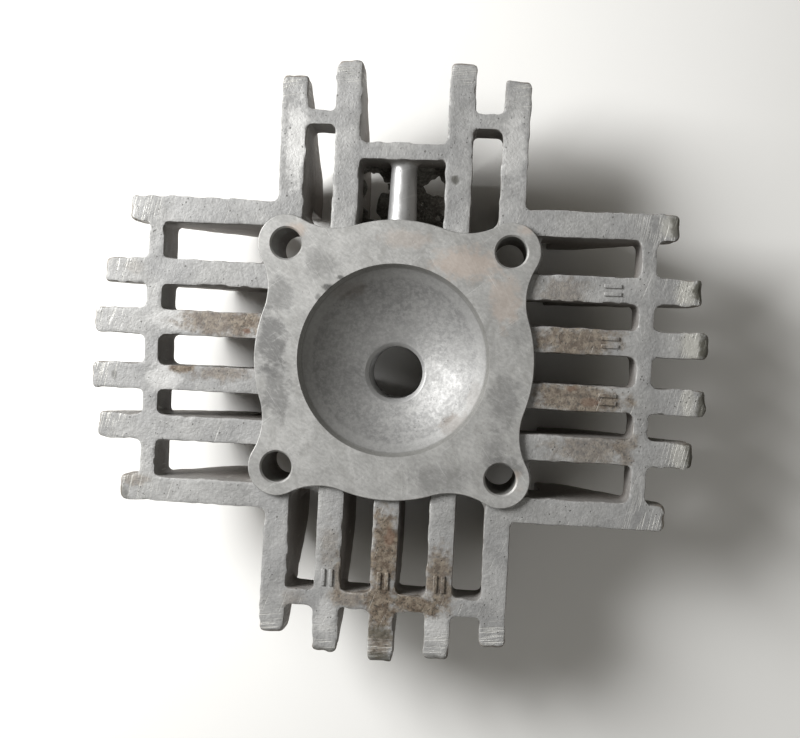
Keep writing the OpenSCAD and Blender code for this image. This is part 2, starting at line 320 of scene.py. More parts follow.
def web_shape(head, sizes, across, node):
    """Distance to a web that crosses the fins; across is 0 for a web that stands across X."""
    low, high = corners(node)
    middle = (low[across] + high[across]) / 2
    half = (high[across] - low[across]) / 2
    along = 1 - across
    draft = sizes.web_draft / MM / 2

    def shape(x, y, z):
        place = (x, y)
        depth = np.clip((head.near_z - z) / (high[2] - low[2]), 0, 1)
        bar = np.abs(place[across] - middle) - half + draft * depth
        ends = np.maximum(place[along] - high[along], low[along] - place[along])
        return np.maximum(np.maximum(bar, low[2] - z), ends)

    return shape


def dome_shape(head):
    """Distance to the outside of the chamber's wall."""

    def shape(x, y, z):
        ball = length(x, y, z - head.bowl_z) - head.dome_r
        return np.maximum(ball, length(x, y) - head.ring_r + HIDDEN)

    return shape


def boss_shape(head):
    """Distance to the round boss of the plug."""

    def shape(x, y, z):
        round_wall = length(x - head.plug[0], y - head.plug[1]) - head.boss_r
        return np.maximum(round_wall, head.plug_seat_z + HIDDEN - z)

    return shape


def column_shape(head, corner):
    """Distance to a stud column and the rib that joins it to the dome."""
    sx, sy = corner
    rib_fillet = 1.0

    def shape(x, y, z):
        column = length(x - sx * head.stud, y - sy * head.stud) - head.column_r
        column = np.maximum(column, np.maximum(head.seat_z + HIDDEN - z, z + head.flange_t / 2))
        outward = (sx * x + sy * y) / math.sqrt(2)
        aside = (sx * x - sy * y) / math.sqrt(2)
        rib = np.maximum(np.abs(aside) - head.rib_half, head.rib_z - z)
        rib = np.maximum(rib, np.maximum(outward - head.stud * math.sqrt(2), head.ring_r / 2 - outward))
        return soft_min(column, rib, rib_fillet)

    return shape


def post_shape(head, sizes):
    """Distance to the round post between the flange and the bridge."""
    low, high = corners("tie_post")
    middle_x = (low[0] + high[0]) / 2
    middle_z = (low[2] + high[2]) / 2
    root_r = (high[0] - low[0]) / 2
    narrowing = root_r * sizes.post_taper

    def shape(x, y, z):
        along = np.clip((y - low[1]) / (high[1] - low[1]), 0, 1)
        round_wall = length(x - middle_x, z - middle_z) - root_r + narrowing * along
        return np.maximum(round_wall, np.maximum(y - high[1] - 1, head.ring_r - 3 - y))

    return shape


def flange_shape(head):
    """Distance to the gasket flange's outline, seen along Z."""
    turn, to_ring = head.neck()
    angle = math.pi / 4 - turn
    hollow = to_ring * np.array([math.cos(angle), math.sin(angle)])

    def shape(x, y, z):
        a = np.maximum(np.abs(x), np.abs(y))
        b = np.minimum(np.abs(x), np.abs(y))
        ring = length(a, b) - head.ring_r
        ear = length(a - head.stud, b - head.stud) - head.ear_r
        neck = head.hollow_r - length(a - hollow[0], b - hollow[1])
        past_ring = hollow[0] * b - hollow[1] * a > 0
        to_stud = head.stud - hollow
        past_ear = to_stud[0] * (b - hollow[1]) - to_stud[1] * (a - hollow[0]) < 0
        outline = np.where(past_ring, np.where(past_ear, ear, neck), ring)
        return outline + 0 * z

    return shape


def build_grid(head, sizes):
    """The whole casting as one grid of distances, with fillets, rough skin and torn edges."""
    pitch = sizes.grid_pitch / MM * 1
    reach = max(head.side_reach, head.cross_reach) + 3
    grid = Grid((-reach, -reach, head.top_z - 3), (reach, reach, 3), pitch)
    blend = sizes.fillet / MM

    def join(node, shape):
        grid.join(*corners(node), shape, blend)

    join("chamber_dome", dome_shape(head))
    join("plug_boss", boss_shape(head))
    for name, corner in CORNERS.items():
        join(f"stud_column_{name}", column_shape(head, corner))
    for node, across, side, reach_r in fin_list(head):
        offset = fin_place(node, across)
        start = fin_start(head, across, offset)
        join(node, fin_shape(head, sizes, across, side, offset, start, reach_r))
    for node, across in WEBS.items():
        join(node, web_shape(head, sizes, across, node))
    join("tie_post", post_shape(head, sizes))

    roughen(grid, head, sizes)
    cut_openings(grid, head)
    return grid


def fin_list(head):
    """Each fin's node, the axis that it stands across, its side and its tip circle's radius."""
    fins = [
        (f"{side}_fin_{number}", 1, SIDES[side], head.side_reach)
        for side in ("left", "right")
        for number in range(1, SIDE_FINS + 1)
    ]
    for side, count in (("top", TOP_FINS), ("bottom", BOTTOM_FINS)):
        fins += [(f"{side}_fin_{n}", 0, SIDES[side], head.cross_reach) for n in range(1, count + 1)]
    return fins


def fin_start(head, across, offset):
    """Where a fin starts, measured from the middle."""
    root = 1.5
    if across == 1:
        if abs(offset) > head.stud:
            return fin_place("top_fin_4", 0)
        if head.beside_stud(offset):
            return math.sqrt(head.ring_r**2 - offset**2) - root
        return 1
    if head.beside_stud(offset):
        return head.stud + head.ear_r / 2
    return fin_place("right_fin_3", 1) if offset else 1


def roughen(grid, head, sizes):
    """Gives the cast skin its waves and grain, and tears the edges at the gasket side."""
    counts = grid.distance.shape
    step = grid.pitch
    x, y, z = grid.places()
    flat = (counts[0], counts[1], 1)
    waves = lumps(counts, cell=5.0 / step, seed=11)
    grain = lumps(counts, cell=1.5 / step, seed=12)
    tears = lumps(flat, cell=1.1 / step, seed=13)
    dents = lumps(flat, cell=3.0 / step, seed=14)
    tear_depth = 1.6
    tip_start = 0.86 * head.side_reach
    tip_length = 6
    near = np.exp(-(((z - head.near_z) / tear_depth) ** 2))
    tips = np.clip((length(x, y) - tip_start) / tip_length, 0, 1)
    grid.distance += sizes.skin_waves / MM * waves
    grid.distance += sizes.skin_grain / MM * grain
    grid.distance += sizes.edge_tears / MM * near * (0.8 + 0.7 * tips) * tears
    face = z - head.near_z + sizes.face_waves / MM * dents
    for limit in (face, head.top_z - z):
        grid.distance[:] = soft_max(grid.distance, limit, 0.3)


def cut_openings(grid, head):
    """Makes room for the machined pieces, which have sharp edges and are built on their own."""
    inner = head.ring_r + head.ear_r
    under = (-inner, -inner, -head.flange_t)
    outline = flange_shape(head)
    grid.cut(
        under,
        (inner, inner, 3),
        lambda x, y, z: np.maximum(outline(x, y, z) + LAP, -head.flange_t + LAP - z),
    )
    liner_r = head.bowl_r + 1.0
    grid.cut(
        (-head.ring_r, -head.ring_r, head.bowl_z - liner_r),
        (head.ring_r, head.ring_r, 3),
        lambda x, y, z: length(x, y, z - head.bowl_z) - liner_r,
    )
    for sx, sy in CORNERS.values():
        place = np.array((sx * head.stud, sy * head.stud))
        bore = head.stud_r + LAP
        grid.cut(
            (*(place - bore), head.seat_z - 2),
            (*(place + bore), 3),
            lambda x, y, z, place=place: length(x - place[0], y - place[1]) - bore + 0 * z,
        )
    core = head.boss_r - LAP
    plug_x, plug_y = head.plug[:2]
    grid.cut(
        (plug_x - core, plug_y - core, head.plug_seat_z - 1),
        (plug_x + core, plug_y + core, 3),
        lambda x, y, z: length(x - plug_x, y - plug_y) - core + 0 * z,
    )
    grid.cut(
        (plug_x - head.well_r, plug_y - head.well_r, head.top_z - 3),
        (plug_x + head.well_r, plug_y + head.well_r, head.plug_seat_z),
        lambda x, y, z: np.maximum(
            length(x - plug_x, y - plug_y) - head.well_r, z - head.plug_seat_z - 0.01
        ),
    )


# ---------- meshes ----------


def mesh_from(name, points, faces):
    """Mesh in metres from points in millimetres and faces that all have the same number of corners."""
    points = np.asarray(points, dtype=np.float64) * MM
    faces = np.asarray(faces, dtype=np.int32)
    mesh = bpy.data.meshes.new(name)
    mesh.vertices.add(len(points))
    mesh.vertices.foreach_set("co", points.ravel())
    mesh.loops.add(faces.size)
    mesh.loops.foreach_set("vertex_index", faces.ravel())
    mesh.polygons.add(len(faces))
    mesh.polygons.foreach_set("loop_start", np.arange(0, faces.size, faces.shape[1], dtype=np.int32))
    mesh.update(calc_edges=True)
    return mesh


def cut_flat(bm, place, normal):
    """Cuts a closed mesh by a plane, drops what lies beyond it and closes the cut."""
    everything = bm.verts[:] + bm.edges[:] + bm.faces[:]
    result = bmesh.ops.bisect_plane(
        bm, geom=everything, dist=1e-7, plane_co=place, plane_no=normal, clear_outer=True
    )
    rim = [part for part in result["geom_cut"] if isinstance(part, bmesh.types.BMEdge)]
    rim = [edge for edge in rim if edge.is_valid and len(edge.link_faces) == 1]
    if rim:
        bmesh.ops.triangle_fill(bm, use_beauty=True, use_dissolve=False, edges=rim)


def add_skin(bm, grid, low, high, limit=None):
    """Adds the casting's skin inside the box from low to high, closed by flat cuts at its sides."""
    points, faces = grid.skin(low, high, limit)
    if not len(faces):
        return
    corner = points[faces]
    volume = np.einsum("ij,ij->i", corner[:, 0], np.cross(corner[:, 1], corner[:, 2])).sum()
    if volume < 0:
        faces = faces[:, ::-1]
    mesh = mesh_from("part", points, faces)
    part = bmesh.new()
    part.from_mesh(mesh)
    bpy.data.meshes.remove(mesh)
    for axis in range(3):
        for place, outward in ((low[axis], -1), (high[axis], 1)):
            if points[:, axis].min() < place < points[:, axis].max():
                normal = Vector([outward if n == axis else 0 for n in range(3)])
                cut_flat(part, Vector([place * MM if n == axis else 0 for n in range(3)]), normal)
    joined = bpy.data.meshes.new("part")
    part.to_mesh(joined)
    part.free()
    bm.from_mesh(joined)
    bpy.data.meshes.remove(joined)


def add_shape(bm, points, faces):
    """Adds points in millimetres and faces of any number of corners."""
    made = [bm.verts.new(Vector(point) * MM) for point in points]
    for face in faces:
        bm.faces.new([made[n] for n in face])


def add_rings(bm, rings):
    """Adds a closed band of faces over rings of equally many points, from the last back to the first."""
    count = len(rings[0])
    points = [point for ring in rings for point in ring]
    faces = []
    for band in range(len(rings)):
        here = band * count
        there = (band + 1) % len(rings) * count
        for n in range(count):
            after = (n + 1) % count
            faces.append((here + n, here + after, there + after, there + n))
    add_shape(bm, points, faces)


def circle(radius, z, count, place=(0, 0)):
    """Points round a circle that lies flat."""
    turns = [2 * math.pi * n / count for n in range(count)]
    return [(place[0] + radius * math.cos(t), place[1] + radius * math.sin(t), z) for t in turns]


def finish_piece(name, bm, material, nodes, sharp=35):
    """Turns a bmesh into a piece that rides on the head and stands for CAD nodes."""
    bmesh.ops.recalc_face_normals(bm, faces=bm.faces[:])
    mesh = bpy.data.meshes.new(name)
    bm.to_mesh(mesh)
    bm.free()
    mesh.polygons.foreach_set("use_smooth", [True] * len(mesh.polygons))
    mesh.set_sharp_from_angle(angle=math.radians(sharp))
    mesh.materials.append(bpy.data.materials[material])
    piece = bpy.data.objects.new(name, mesh)
    bpy.context.scene.collection.objects.link(piece)
    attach(piece, BODY)
    if nodes:
        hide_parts(*nodes)


# ---------- pieces ----------


def hub_limit(head):
    """Keeps a fin's piece out of the dome, the boss and the columns, but for a small lap."""
    shapes = [dome_shape(head), boss_shape(head)]
    shapes += [column_shape(head, corner) for corner in CORNERS.values()]

    def limit(x, y, z):
        hub = shapes[0](x, y, z)
        for shape in shapes[1:]:
            hub = np.minimum(hub, shape(x, y, z))
        return -(hub + LAP)

    return limit


def make_fins(grid, head):
    """Cuts one piece for each fin out of the casting's skin."""
    band = head.fin_half + 1
    reach_into_column = 4
    limit = hub_limit(head)
    outer_x = fin_place("top_fin_4", 0)
    inner_y = fin_place("right_fin_3", 1)
    far = head.side_reach + 2
    for node, across, side, _ in fin_list(head):
        offset = fin_place(node, across)
        low = [-far, -far, head.top_z - 2]
        high = [far, far, 2]
        low[across] = offset - band
        high[across] = offset + band
        along = 1 - across
        start = max(fin_start(head, across, offset), 1)
        if across == 1 and abs(offset) > head.stud:
            start = outer_x + band
            widen = low if offset < 0 else high
            widen[1] += math.copysign(band, offset)
        elif head.beside_stud(offset):
            start -= reach_into_column
        elif across == 0:
            start = inner_y + band
        if side > 0:
            low[along] = start
        else:
            high[along] = -start
        bm = bmesh.new()
        add_skin(bm, grid, low, high, limit)
        finish_piece(f"cast_{node}", bm, "cast_aluminium", [node])


def make_webs(grid, head):
    """Cuts the webs and the bridge, each a row of short bars between the fins."""
    band = head.fin_half + 1
    rows = sorted(fin_place(f"left_fin_{n}", 1) for n in range(1, SIDE_FINS + 1))
    columns = sorted(fin_place(f"bottom_fin_{n}", 0) for n in range(1, BOTTOM_FINS + 1))
    top_columns = sorted(fin_place(f"top_fin_{n}", 0) for n in range(1, TOP_FINS + 1))
    post_end = corners("tie_post")[1][1]
    room = 4.5
    for node, across in WEBS.items():
        web_low, web_high = corners(node)
        along = 1 - across
        crossed = rows if across == 0 else columns if node == "bottom_web" else top_columns
        bm = bmesh.new()
        for before, after in zip(crossed, crossed[1:]):
            middle = (before + after) / 2
            if not web_low[along] < middle < web_high[along]:
                continue
            low = [0, 0, head.top_z - 2]
            high = [0, 0, 2]
            low[across] = web_low[across] - room
            high[across] = web_high[across] + room
            if node == "pocket_bridge":
                low[across] = post_end - 1
            low[along] = before + band
            high[along] = after - band
            add_skin(bm, grid, low, high)
        finish_piece(f"cast_{node}", bm, "cast_aluminium", [node])


def make_dome(grid, head):
    """The cast back of the chamber, with the skin round the plug's boss."""
    dome = dome_shape(head)
    boss = boss_shape(head)
    r = head.ring_r + 1

    def limit(x, y, z):
        hub = np.minimum(dome(x, y, z), boss(x, y, z)) - SKIN_ROOM
        return np.maximum(hub, z + head.flange_t - LAP)

    bm = bmesh.new()
    add_skin(bm, grid, (-r, -r, head.plug_seat_z - 1), (r, r, 2), limit)
    finish_piece("dome_back", bm, "cast_aluminium", ["chamber_dome"])


def make_columns(grid, head):
    """Stud columns: cast outside, with a drilled bore and a spot-faced nut seat."""
    dome = dome_shape(head)
    rib_reach = 14
    for name, (sx, sy) in CORNERS.items():
        column = column_shape(head, (sx, sy))

        def limit(x, y, z, column=column):
            return np.maximum(column(x, y, z) - SKIN_ROOM, -(dome(x, y, z) + LAP))

        r = head.column_r + 1
        place = np.array((sx * head.stud, sy * head.stud))
        inward = place - (sx * rib_reach, sy * rib_reach)
        low = np.minimum(place - r, inward)
        high = np.maximum(place + r, inward)
        bm = bmesh.new()
        add_skin(bm, grid, (*low, head.seat_z - 1), (*high, 2), limit)
        seat_r = head.column_r - 1
        chamfer = 0.3
        # Radius and height of each ring of the bore and the nut's seat
        bore = [
            (head.stud_r, HIDDEN - head.flange_t),
            (head.stud_r, head.seat_z + chamfer),
            (head.stud_r + chamfer, head.seat_z),
            (seat_r, head.seat_z),
            (seat_r, head.seat_z + 2 * HIDDEN),
            (head.stud_r + 2 * LAP, head.seat_z + 2 * HIDDEN),
            (head.stud_r + 2 * LAP, HIDDEN - head.flange_t),
        ]
        add_rings(bm, [circle(radius, z, 64, place) for radius, z in bore])
        node = f"stud_column_{name}"
        finish_piece(f"cast_{node}", bm, "cast_aluminium", [node])


def make_post(grid, head):
    """The round post that ties the flange to the bridge."""
    _, high = corners("tie_post")
    room = 5.5
    bm = bmesh.new()
    add_skin(bm, grid, (-room, head.ring_r - 2, head.top_z), (room, high[1] - 1, 2))
    finish_piece("round_tie_post", bm, "smooth_aluminium", ["tie_post"])


def flange_outline(head, inset):
    """Points round the flange's outline, moved in by inset."""
    turn, to_ring = head.neck()
    reach = head.stud * math.sqrt(2)
    ring_r = head.ring_r - inset
    ear_r = head.ear_r - inset
    hollow_r = head.hollow_r + inset
    hollow = np.array([to_ring * math.cos(turn), to_ring * math.sin(turn)])
    to_ear = np.array([reach, 0]) - hollow
    ring_side = math.pi + turn
    ear_side = math.atan2(to_ear[1], to_ear[0]) % (2 * math.pi)
    ear_turn = ear_side - math.pi

    def arc(centre, radius, start, end, steps):
        turns = np.linspace(start, end, steps, endpoint=False)
        return [centre + radius * np.array([math.cos(t), math.sin(t)]) for t in turns]

    mirrored = hollow * (1, -1)
    quarter = []
    quarter += arc(np.zeros(2), ring_r, turn - math.pi / 2, -turn, 40)
    quarter += arc(mirrored, hollow_r, -ring_side, -ear_side, 16)
    quarter += arc(np.array([reach, 0]), ear_r, -ear_turn, ear_turn, 40)
    quarter += arc(hollow, hollow_r, ear_side, ring_side, 16)
    points = []
    for number in range(4):
        angle = math.pi / 4 + number * math.pi / 2
        rotate = np.array([[math.cos(angle), -math.sin(angle)], [math.sin(angle), math.cos(angle)]])
        points += [rotate @ point for point in quarter]
    return points


def add_plate(bm, walls):
    """Adds a flat plate: each wall is a list of rings from the top face to the bottom face."""
    tops = []
    bottoms = []
    for rings in walls:
        made = [[bm.verts.new(Vector(point) * MM) for point in ring] for ring in rings]
        for upper, lower in zip(made, made[1:]):
            for n in range(len(upper)):
                after = (n + 1) % len(upper)
                bm.faces.new((upper[n], upper[after], lower[after], lower[n]))
        for rim, edges in ((made[0], tops), (made[-1], bottoms)):
            edges.extend(bm.edges.get((rim[n - 1], rim[n])) for n in range(len(rim)))
    for rim in (tops, bottoms):
        bmesh.ops.triangle_fill(bm, use_beauty=True, use_dissolve=False, edges=rim)


def make_flange(head, sizes):
    """The machined gasket flange with its four ears, stud holes and the chamber's lip."""
    edge = sizes.flange_edge / MM
    bottom = -head.flange_t
    outline = [
        [(*point, z) for point in flange_outline(head, inset)]
        for inset, z in ((edge, 0), (edge * 0.35, -edge * 0.35), (0, -edge), (0, bottom))
    ]
    recess_r = head.lip_foot_r + 0.9
    # Radius and height of each ring of the lip
    lip = [
        (head.mouth_r + 0.06, 0),
        (head.mouth_r, -0.08),
        (head.lip_foot_r + 0.2, -head.lip_h * 0.75),
        (head.lip_foot_r, -head.lip_h),
        (recess_r, -head.lip_h - 0.01),
        (recess_r, bottom),
    ]
    walls = [outline, [circle(radius, z, 256) for radius, z in lip]]
    chamfer = 0.4
    for sx, sy in CORNERS.values():
        hole = ((head.stud_r + chamfer, 0), (head.stud_r, -chamfer), (head.stud_r, bottom))
        place = (sx * head.stud, sy * head.stud)
        walls.append([circle(radius, z, 64, place) for radius, z in hole])
    bm = bmesh.new()
    add_plate(bm, walls)
    finish_piece("faced_flange", bm, "faced_aluminium", ["gasket_flange"], sharp=25)


def make_bowl(head):
    """The combustion chamber's bowl, from the lip to the plug hole's rim."""
    rim_r = head.plug_r + 0.95
    plug_xy = np.array(head.plug[:2])
    wall = 1.3
    count = 192
    rings = 44

    def ring(share, sphere_r):
        centre = plug_xy * (1 - share)
        radius = rim_r + (head.lip_foot_r - rim_r) * share
        points = circle(radius, 0, count, centre)
        return [(x, y, head.bowl_z - math.sqrt(sphere_r**2 - x * x - y * y)) for x, y, _ in points]

    shares = [n / rings for n in range(rings + 1)]
    inner = [ring(share, head.bowl_r) for share in shares]
    rim = circle(head.lip_foot_r + 0.8, -head.lip_h, count)
    outer = [ring(share, head.bowl_r + wall) for share in reversed(shares)]
    bm = bmesh.new()
    add_rings(bm, [*inner, rim, *outer])
    finish_piece("chamber_bowl", bm, "chamber_aluminium", [])


def make_plug_sleeve(head, sizes):
    """The tapped plug hole, from its bright rim in the bowl to the washer's seat."""
    place = tuple(head.plug[:2])
    count = 96
    pitch = sizes.thread_pitch / MM
    thread_h = sizes.thread_height / MM
    rim_r = head.plug_r + 0.97
    turns = [2 * math.pi * n / count for n in range(count)]

    def on_bowl(radius, drop):
        points = circle(radius, 0, count, place)
        top = head.bowl_z - drop
        return [(x, y, top - math.sqrt(head.bowl_r**2 - x * x - y * y)) for x, y, _ in points]

    def thread_ring(z):
        ring = []
        for turn in turns:
            phase = (z / pitch - turn / (2 * math.pi)) % 1
            crest = max(0.0, min(1.0, 2.4 * abs(phase - 0.5) - 0.1))
            radius = head.plug_r + thread_h * (1 - crest)
            ring.append((place[0] + radius * math.cos(turn), place[1] + radius * math.sin(turn), z))
        return ring

    first_z = -head.bowl_depth - 0.9
    last_z = head.plug_seat_z + 0.9
    steps = int((first_z - last_z) / pitch * 10)
    rings = [on_bowl(rim_r, 0.02), on_bowl(rim_r - 0.25, 0.1), on_bowl(head.plug_r + 0.05, 0.75)]
    rings += [thread_ring(first_z + (last_z - first_z) * n / steps) for n in range(steps + 1)]
    seat_z = head.plug_seat_z
    # Radius and height of each ring of the boss round the thread
    profile = [
        (head.plug_r + 0.8, seat_z),
        (head.boss_r - 0.7, seat_z),
        (head.boss_r - HIDDEN, seat_z + 0.4),
        (head.boss_r - HIDDEN, -head.bowl_depth - 3.6),
        (head.plug_r + 2.2, -head.bowl_depth - 1.7),
        (head.plug_r + 2.2, -head.bowl_depth - 1.4),
    ]
    rings += [circle(radius, z, count, place) for radius, z in profile]
    rings.append(on_bowl(rim_r + 0.4, 0.9))
    bm = bmesh.new()
    add_rings(bm, rings)
    finish_piece("tapped_plug_boss", bm, "smooth_aluminium", ["plug_boss"])


def polygon_distance(x, y, points):
    """Distance to a polygon's outline, negative inside it."""
    nearest = np.full(np.broadcast(x, y).shape, 1e6, np.float32)
    inside = np.zeros(nearest.shape, bool)
    for (ax, ay), (bx, by) in zip(points, points[1:] + points[:1]):
        dx, dy = bx - ax, by - ay
        share = np.clip(((x - ax) * dx + (y - ay) * dy) / (dx * dx + dy * dy), 0, 1)
        nearest = np.minimum(nearest, length(x - ax - dx * share, y - ay - dy * share))
        if dy:
            crosses = (ay > y) != (by > y)
            inside ^= crosses & (x < ax + (y - ay) / dy * dx)
    return np.where(inside, -nearest, nearest)


def make_flash(head):
    """The torn sheet of flash that was left across the pocket."""
    low, high = corners("pocket_flash")
    middle_z = (low[2] + high[2]) / 2
    half = (high[2] - low[2]) / 2
    pitch = 0.22
    room = np.array((1.5, 1.5, 2))
    grid = Grid(low - room, high + room, pitch)
    x, y, z = grid.places()
    counts = grid.distance.shape
    flat = (counts[0], counts[1], 1)
    warp = lumps(flat, cell=3.5 / pitch, seed=21)
    torn = lumps(flat, cell=1.0 / pitch, seed=22)
    ring_y = head.ring_r
    # Corners of the two torn holes, measured from the middle and from the sealing ring
    left = [(-9.4, 1.8), (-9.7, 12.2), (-7.5, 13), (-4.4, 10.6), (-6, 8.2), (-6.8, 5), (-6.2, 1.6)]
    right = [(4.4, 9.8), (8.2, 11.9), (9.5, 11), (9.3, 7.8), (6.5, 7.4)]
    hole = np.minimum(polygon_distance(x, y - ring_y, left), polygon_distance(x, y - ring_y, right))
    sheet = np.abs(z - middle_z - 0.5 * warp) - half * (0.75 + 0.35 * torn)
    lap = 0.2
    sides = np.abs(x - (low[0] + high[0]) / 2) - (high[0] - low[0]) / 2 - lap
    sides = np.maximum(sides, np.maximum(y - high[1] - lap, low[1] - y))
    torn_sheet = soft_max(sheet, -(hole + 0.35 * torn), 0.6)
    grid.distance[:] = np.minimum(np.maximum(torn_sheet, sides), grid.far)
    bm = bmesh.new()
    add_skin(bm, grid, low - 1.2, high + 1.2)
    finish_piece("torn_flash", bm, "oily_flash", ["pocket_flash"])


def make_marks(sizes):
    """Plain raised bars on the near faces of six fins."""
    low, high = corners("foundry_marks")
    bar_l = sizes.mark_length / MM
    bar_w = sizes.mark_width / MM
    root = 0.3
    rounding = 0.14
    side_x = high[0] - bar_l / 2
    bottom_y = low[1] + bar_l / 2
    bars = []
    for node in ("right_fin_2", "right_fin_3", "right_fin_4"):
        bars += [(side_x, fin_place(node, 1) + i * bar_w, bar_l, bar_w) for i in (-1, 1)]
    for node in ("bottom_fin_2", "bottom_fin_3", "bottom_fin_4"):
        bars += [(fin_place(node, 0) + i * bar_w, bottom_y, bar_w, bar_l) for i in (-1, 1)]
    bm = bmesh.new()
    for x, y, dx, dy in bars:
        made = bmesh.ops.create_cube(bm, size=MM)["verts"]
        middle = Vector((x, y, (high[2] + low[2] - root) / 2))
        bmesh.ops.scale(bm, vec=(dx, dy, high[2] - low[2] + root), verts=made)
        bmesh.ops.translate(bm, vec=middle * MM, verts=made)
        edges = list(dict.fromkeys(edge for vert in made for edge in vert.link_edges))
        bmesh.ops.bevel(bm, geom=edges, offset=rounding * MM, segments=3, affect="EDGES", profile=0.5)
    finish_piece("raised_bars", bm, "cast_aluminium", ["foundry_marks"])


# ---------- node trees ----------


class Tree:
    """Short ways to add nodes to a material or a node group."""

    def __init__(self, tree):
        self.tree = tree

    def add(self, kind, inputs=None, **settings):
        node = self.tree.nodes.new(kind)
        for name, value in settings.items():
            setattr(node, name, value)
        for name, value in (inputs or {}).items():
            self.feed(node.inputs[name], value)
        return node

    def feed(self, socket, value):
        if isinstance(value, bpy.types.NodeSocket):
            self.tree.links.new(value, socket)
        else:
            socket.default_value = value

    def math(self, operation, a, b=0.0, clamp=False):
        return self.add("ShaderNodeMath", {0: a, 1: b}, operation=operation, use_clamp=clamp).outputs[0]

    def plus(self, a, b):
        return self.math("ADD", a, b)

    def minus(self, a, b):
        return self.math("SUBTRACT", a, b)

    def times(self, a, b):
        return self.math("MULTIPLY", a, b)

    def vector(self, operation, a, b):
        return self.add("ShaderNodeVectorMath", {0: a, 1: b}, operation=operation).outputs[0]

    def scaled(self, vector, factors):
        return self.vector("MULTIPLY", vector, factors)

    def size_of(self, vector):
        return self.add("ShaderNodeVectorMath", {0: vector}, operation="LENGTH").outputs["Value"]

    def place(self):
        """The place on the head, in metres."""
        return self.add("ShaderNodeTexCoord").outputs["Object"]

    def out_from_middle(self, place):
        """Distance from the head's upright middle line."""
        return self.size_of(self.scaled(place, (1, 1, 0)))

    def apart(self, vector):
        """A vector's X, Y and Z."""
        return self.add("ShaderNodeSeparateXYZ", {0: vector}).outputs

    def facing_up(self):
        """How far the surface faces the gasket side, from -1 to 1."""
        return self.apart(self.add("ShaderNodeNewGeometry").outputs["True Normal"])["Z"]

    def turned(self, vector, angle):
        """The vector turned about Z, which changes the direction of lines."""
        settings = {"Vector": vector, "Angle": angle}
        return self.add("ShaderNodeVectorRotate", settings, rotation_type="Z_AXIS").outputs[0]

    def noise(self, vector, scale, detail=3.0, roughness=0.55, distortion=0.0):
        """Noise with about scale lumps to a metre."""
        values = {"Vector": vector, "Scale": scale, "Detail": detail}
        values |= {"Roughness": roughness, "Distortion": distortion}
        return self.add("ShaderNodeTexNoise", values).outputs["Fac"]

    def fade(self, value, start, end, low=0.0, high=1.0):
        """Smooth step from low at start to high at end."""
        values = {"Value": value, "From Min": start, "From Max": end, "To Min": low, "To Max": high}
        return self.add("ShaderNodeMapRange", values, interpolation_type="SMOOTHSTEP").outputs["Result"]

    def mix(self, factor, a, b):
        """Colour a where factor is 0, and b where it is 1."""
        node = self.add("ShaderNodeMix", data_type="RGBA")
        sockets = {socket.identifier: socket for socket in node.inputs}
        self.feed(sockets["Factor_Float"], factor)
        self.feed(sockets["A_Color"], a)
        self.feed(sockets["B_Color"], b)
        return next(socket for socket in node.outputs if socket.identifier == "Result_Color")

    def group(self, name, **inputs):
        node = self.add("ShaderNodeGroup", node_tree=bpy.data.node_groups[name])
        for key, value in inputs.items():
            self.feed(node.inputs[key.replace("_", " ")], value)
        return node.outputs


def new_group(name, inputs, outputs):
    """Starts a shader node group with named inputs and outputs."""
    group = bpy.data.node_groups.new(name, "ShaderNodeTree")
    for label, (kind, value) in inputs.items():
        socket = group.interface.new_socket(label, in_out="INPUT", socket_type=kind)
        socket.default_value = value
    for label, kind in outputs.items():
        group.interface.new_socket(label, in_out="OUTPUT", socket_type=kind)
    tree = Tree(group)
    start = tree.add("NodeGroupInput").outputs
    end = tree.add("NodeGroupOutput").inputs
    return tree, start, end


FLOAT = "NodeSocketFloat"
VECTOR = "NodeSocketVector"


def make_grain_group():
    """Cast grain: small lumps, soft mottling and open pores."""
    outputs = {"Height": FLOAT, "Mottle": FLOAT, "Pores": FLOAT}
    inputs = {"Grain": (FLOAT, 1.0), "Pore Amount": (FLOAT, 0.5)}
    tree, start, end = new_group("Cast grain", inputs, outputs)
    place = tree.place()
    coarse = tree.noise(place, 420.0, 4.0, 0.6)
    fine = tree.noise(place, 1500.0, 3.0, 0.65)
    wide = tree.noise(place, 130.0, 5.0, 0.6, 0.3)
    tiny = tree.noise(place, 2600.0, 2.0, 0.5)
    cells = tree.add("ShaderNodeTexVoronoi", {"Vector": place, "Scale": 900.0}, feature="F1")
    pore_size = tree.times(tree.fade(coarse, 0.42, 0.72), start["Pore Amount"])
    pore_size = tree.times(pore_size, 0.34)
    pores = tree.minus(1.0, tree.fade(tree.minus(cells.outputs["Distance"], pore_size), 0.0, 0.07))
    height = tree.plus(tree.times(coarse, 1.1), tree.times(fine, 0.6))
    height = tree.plus(height, tree.times(tiny, 0.25))
    height = tree.times(height, start["Grain"])
    height = tree.minus(height, tree.times(pores, 0.9))
    mottle = tree.plus(tree.times(wide, 0.6), tree.times(fine, 0.4))
    tree.feed(end["Height"], height)
    tree.feed(end["Mottle"], tree.fade(mottle, 0.3, 0.7))
    tree.feed(end["Pores"], pores)


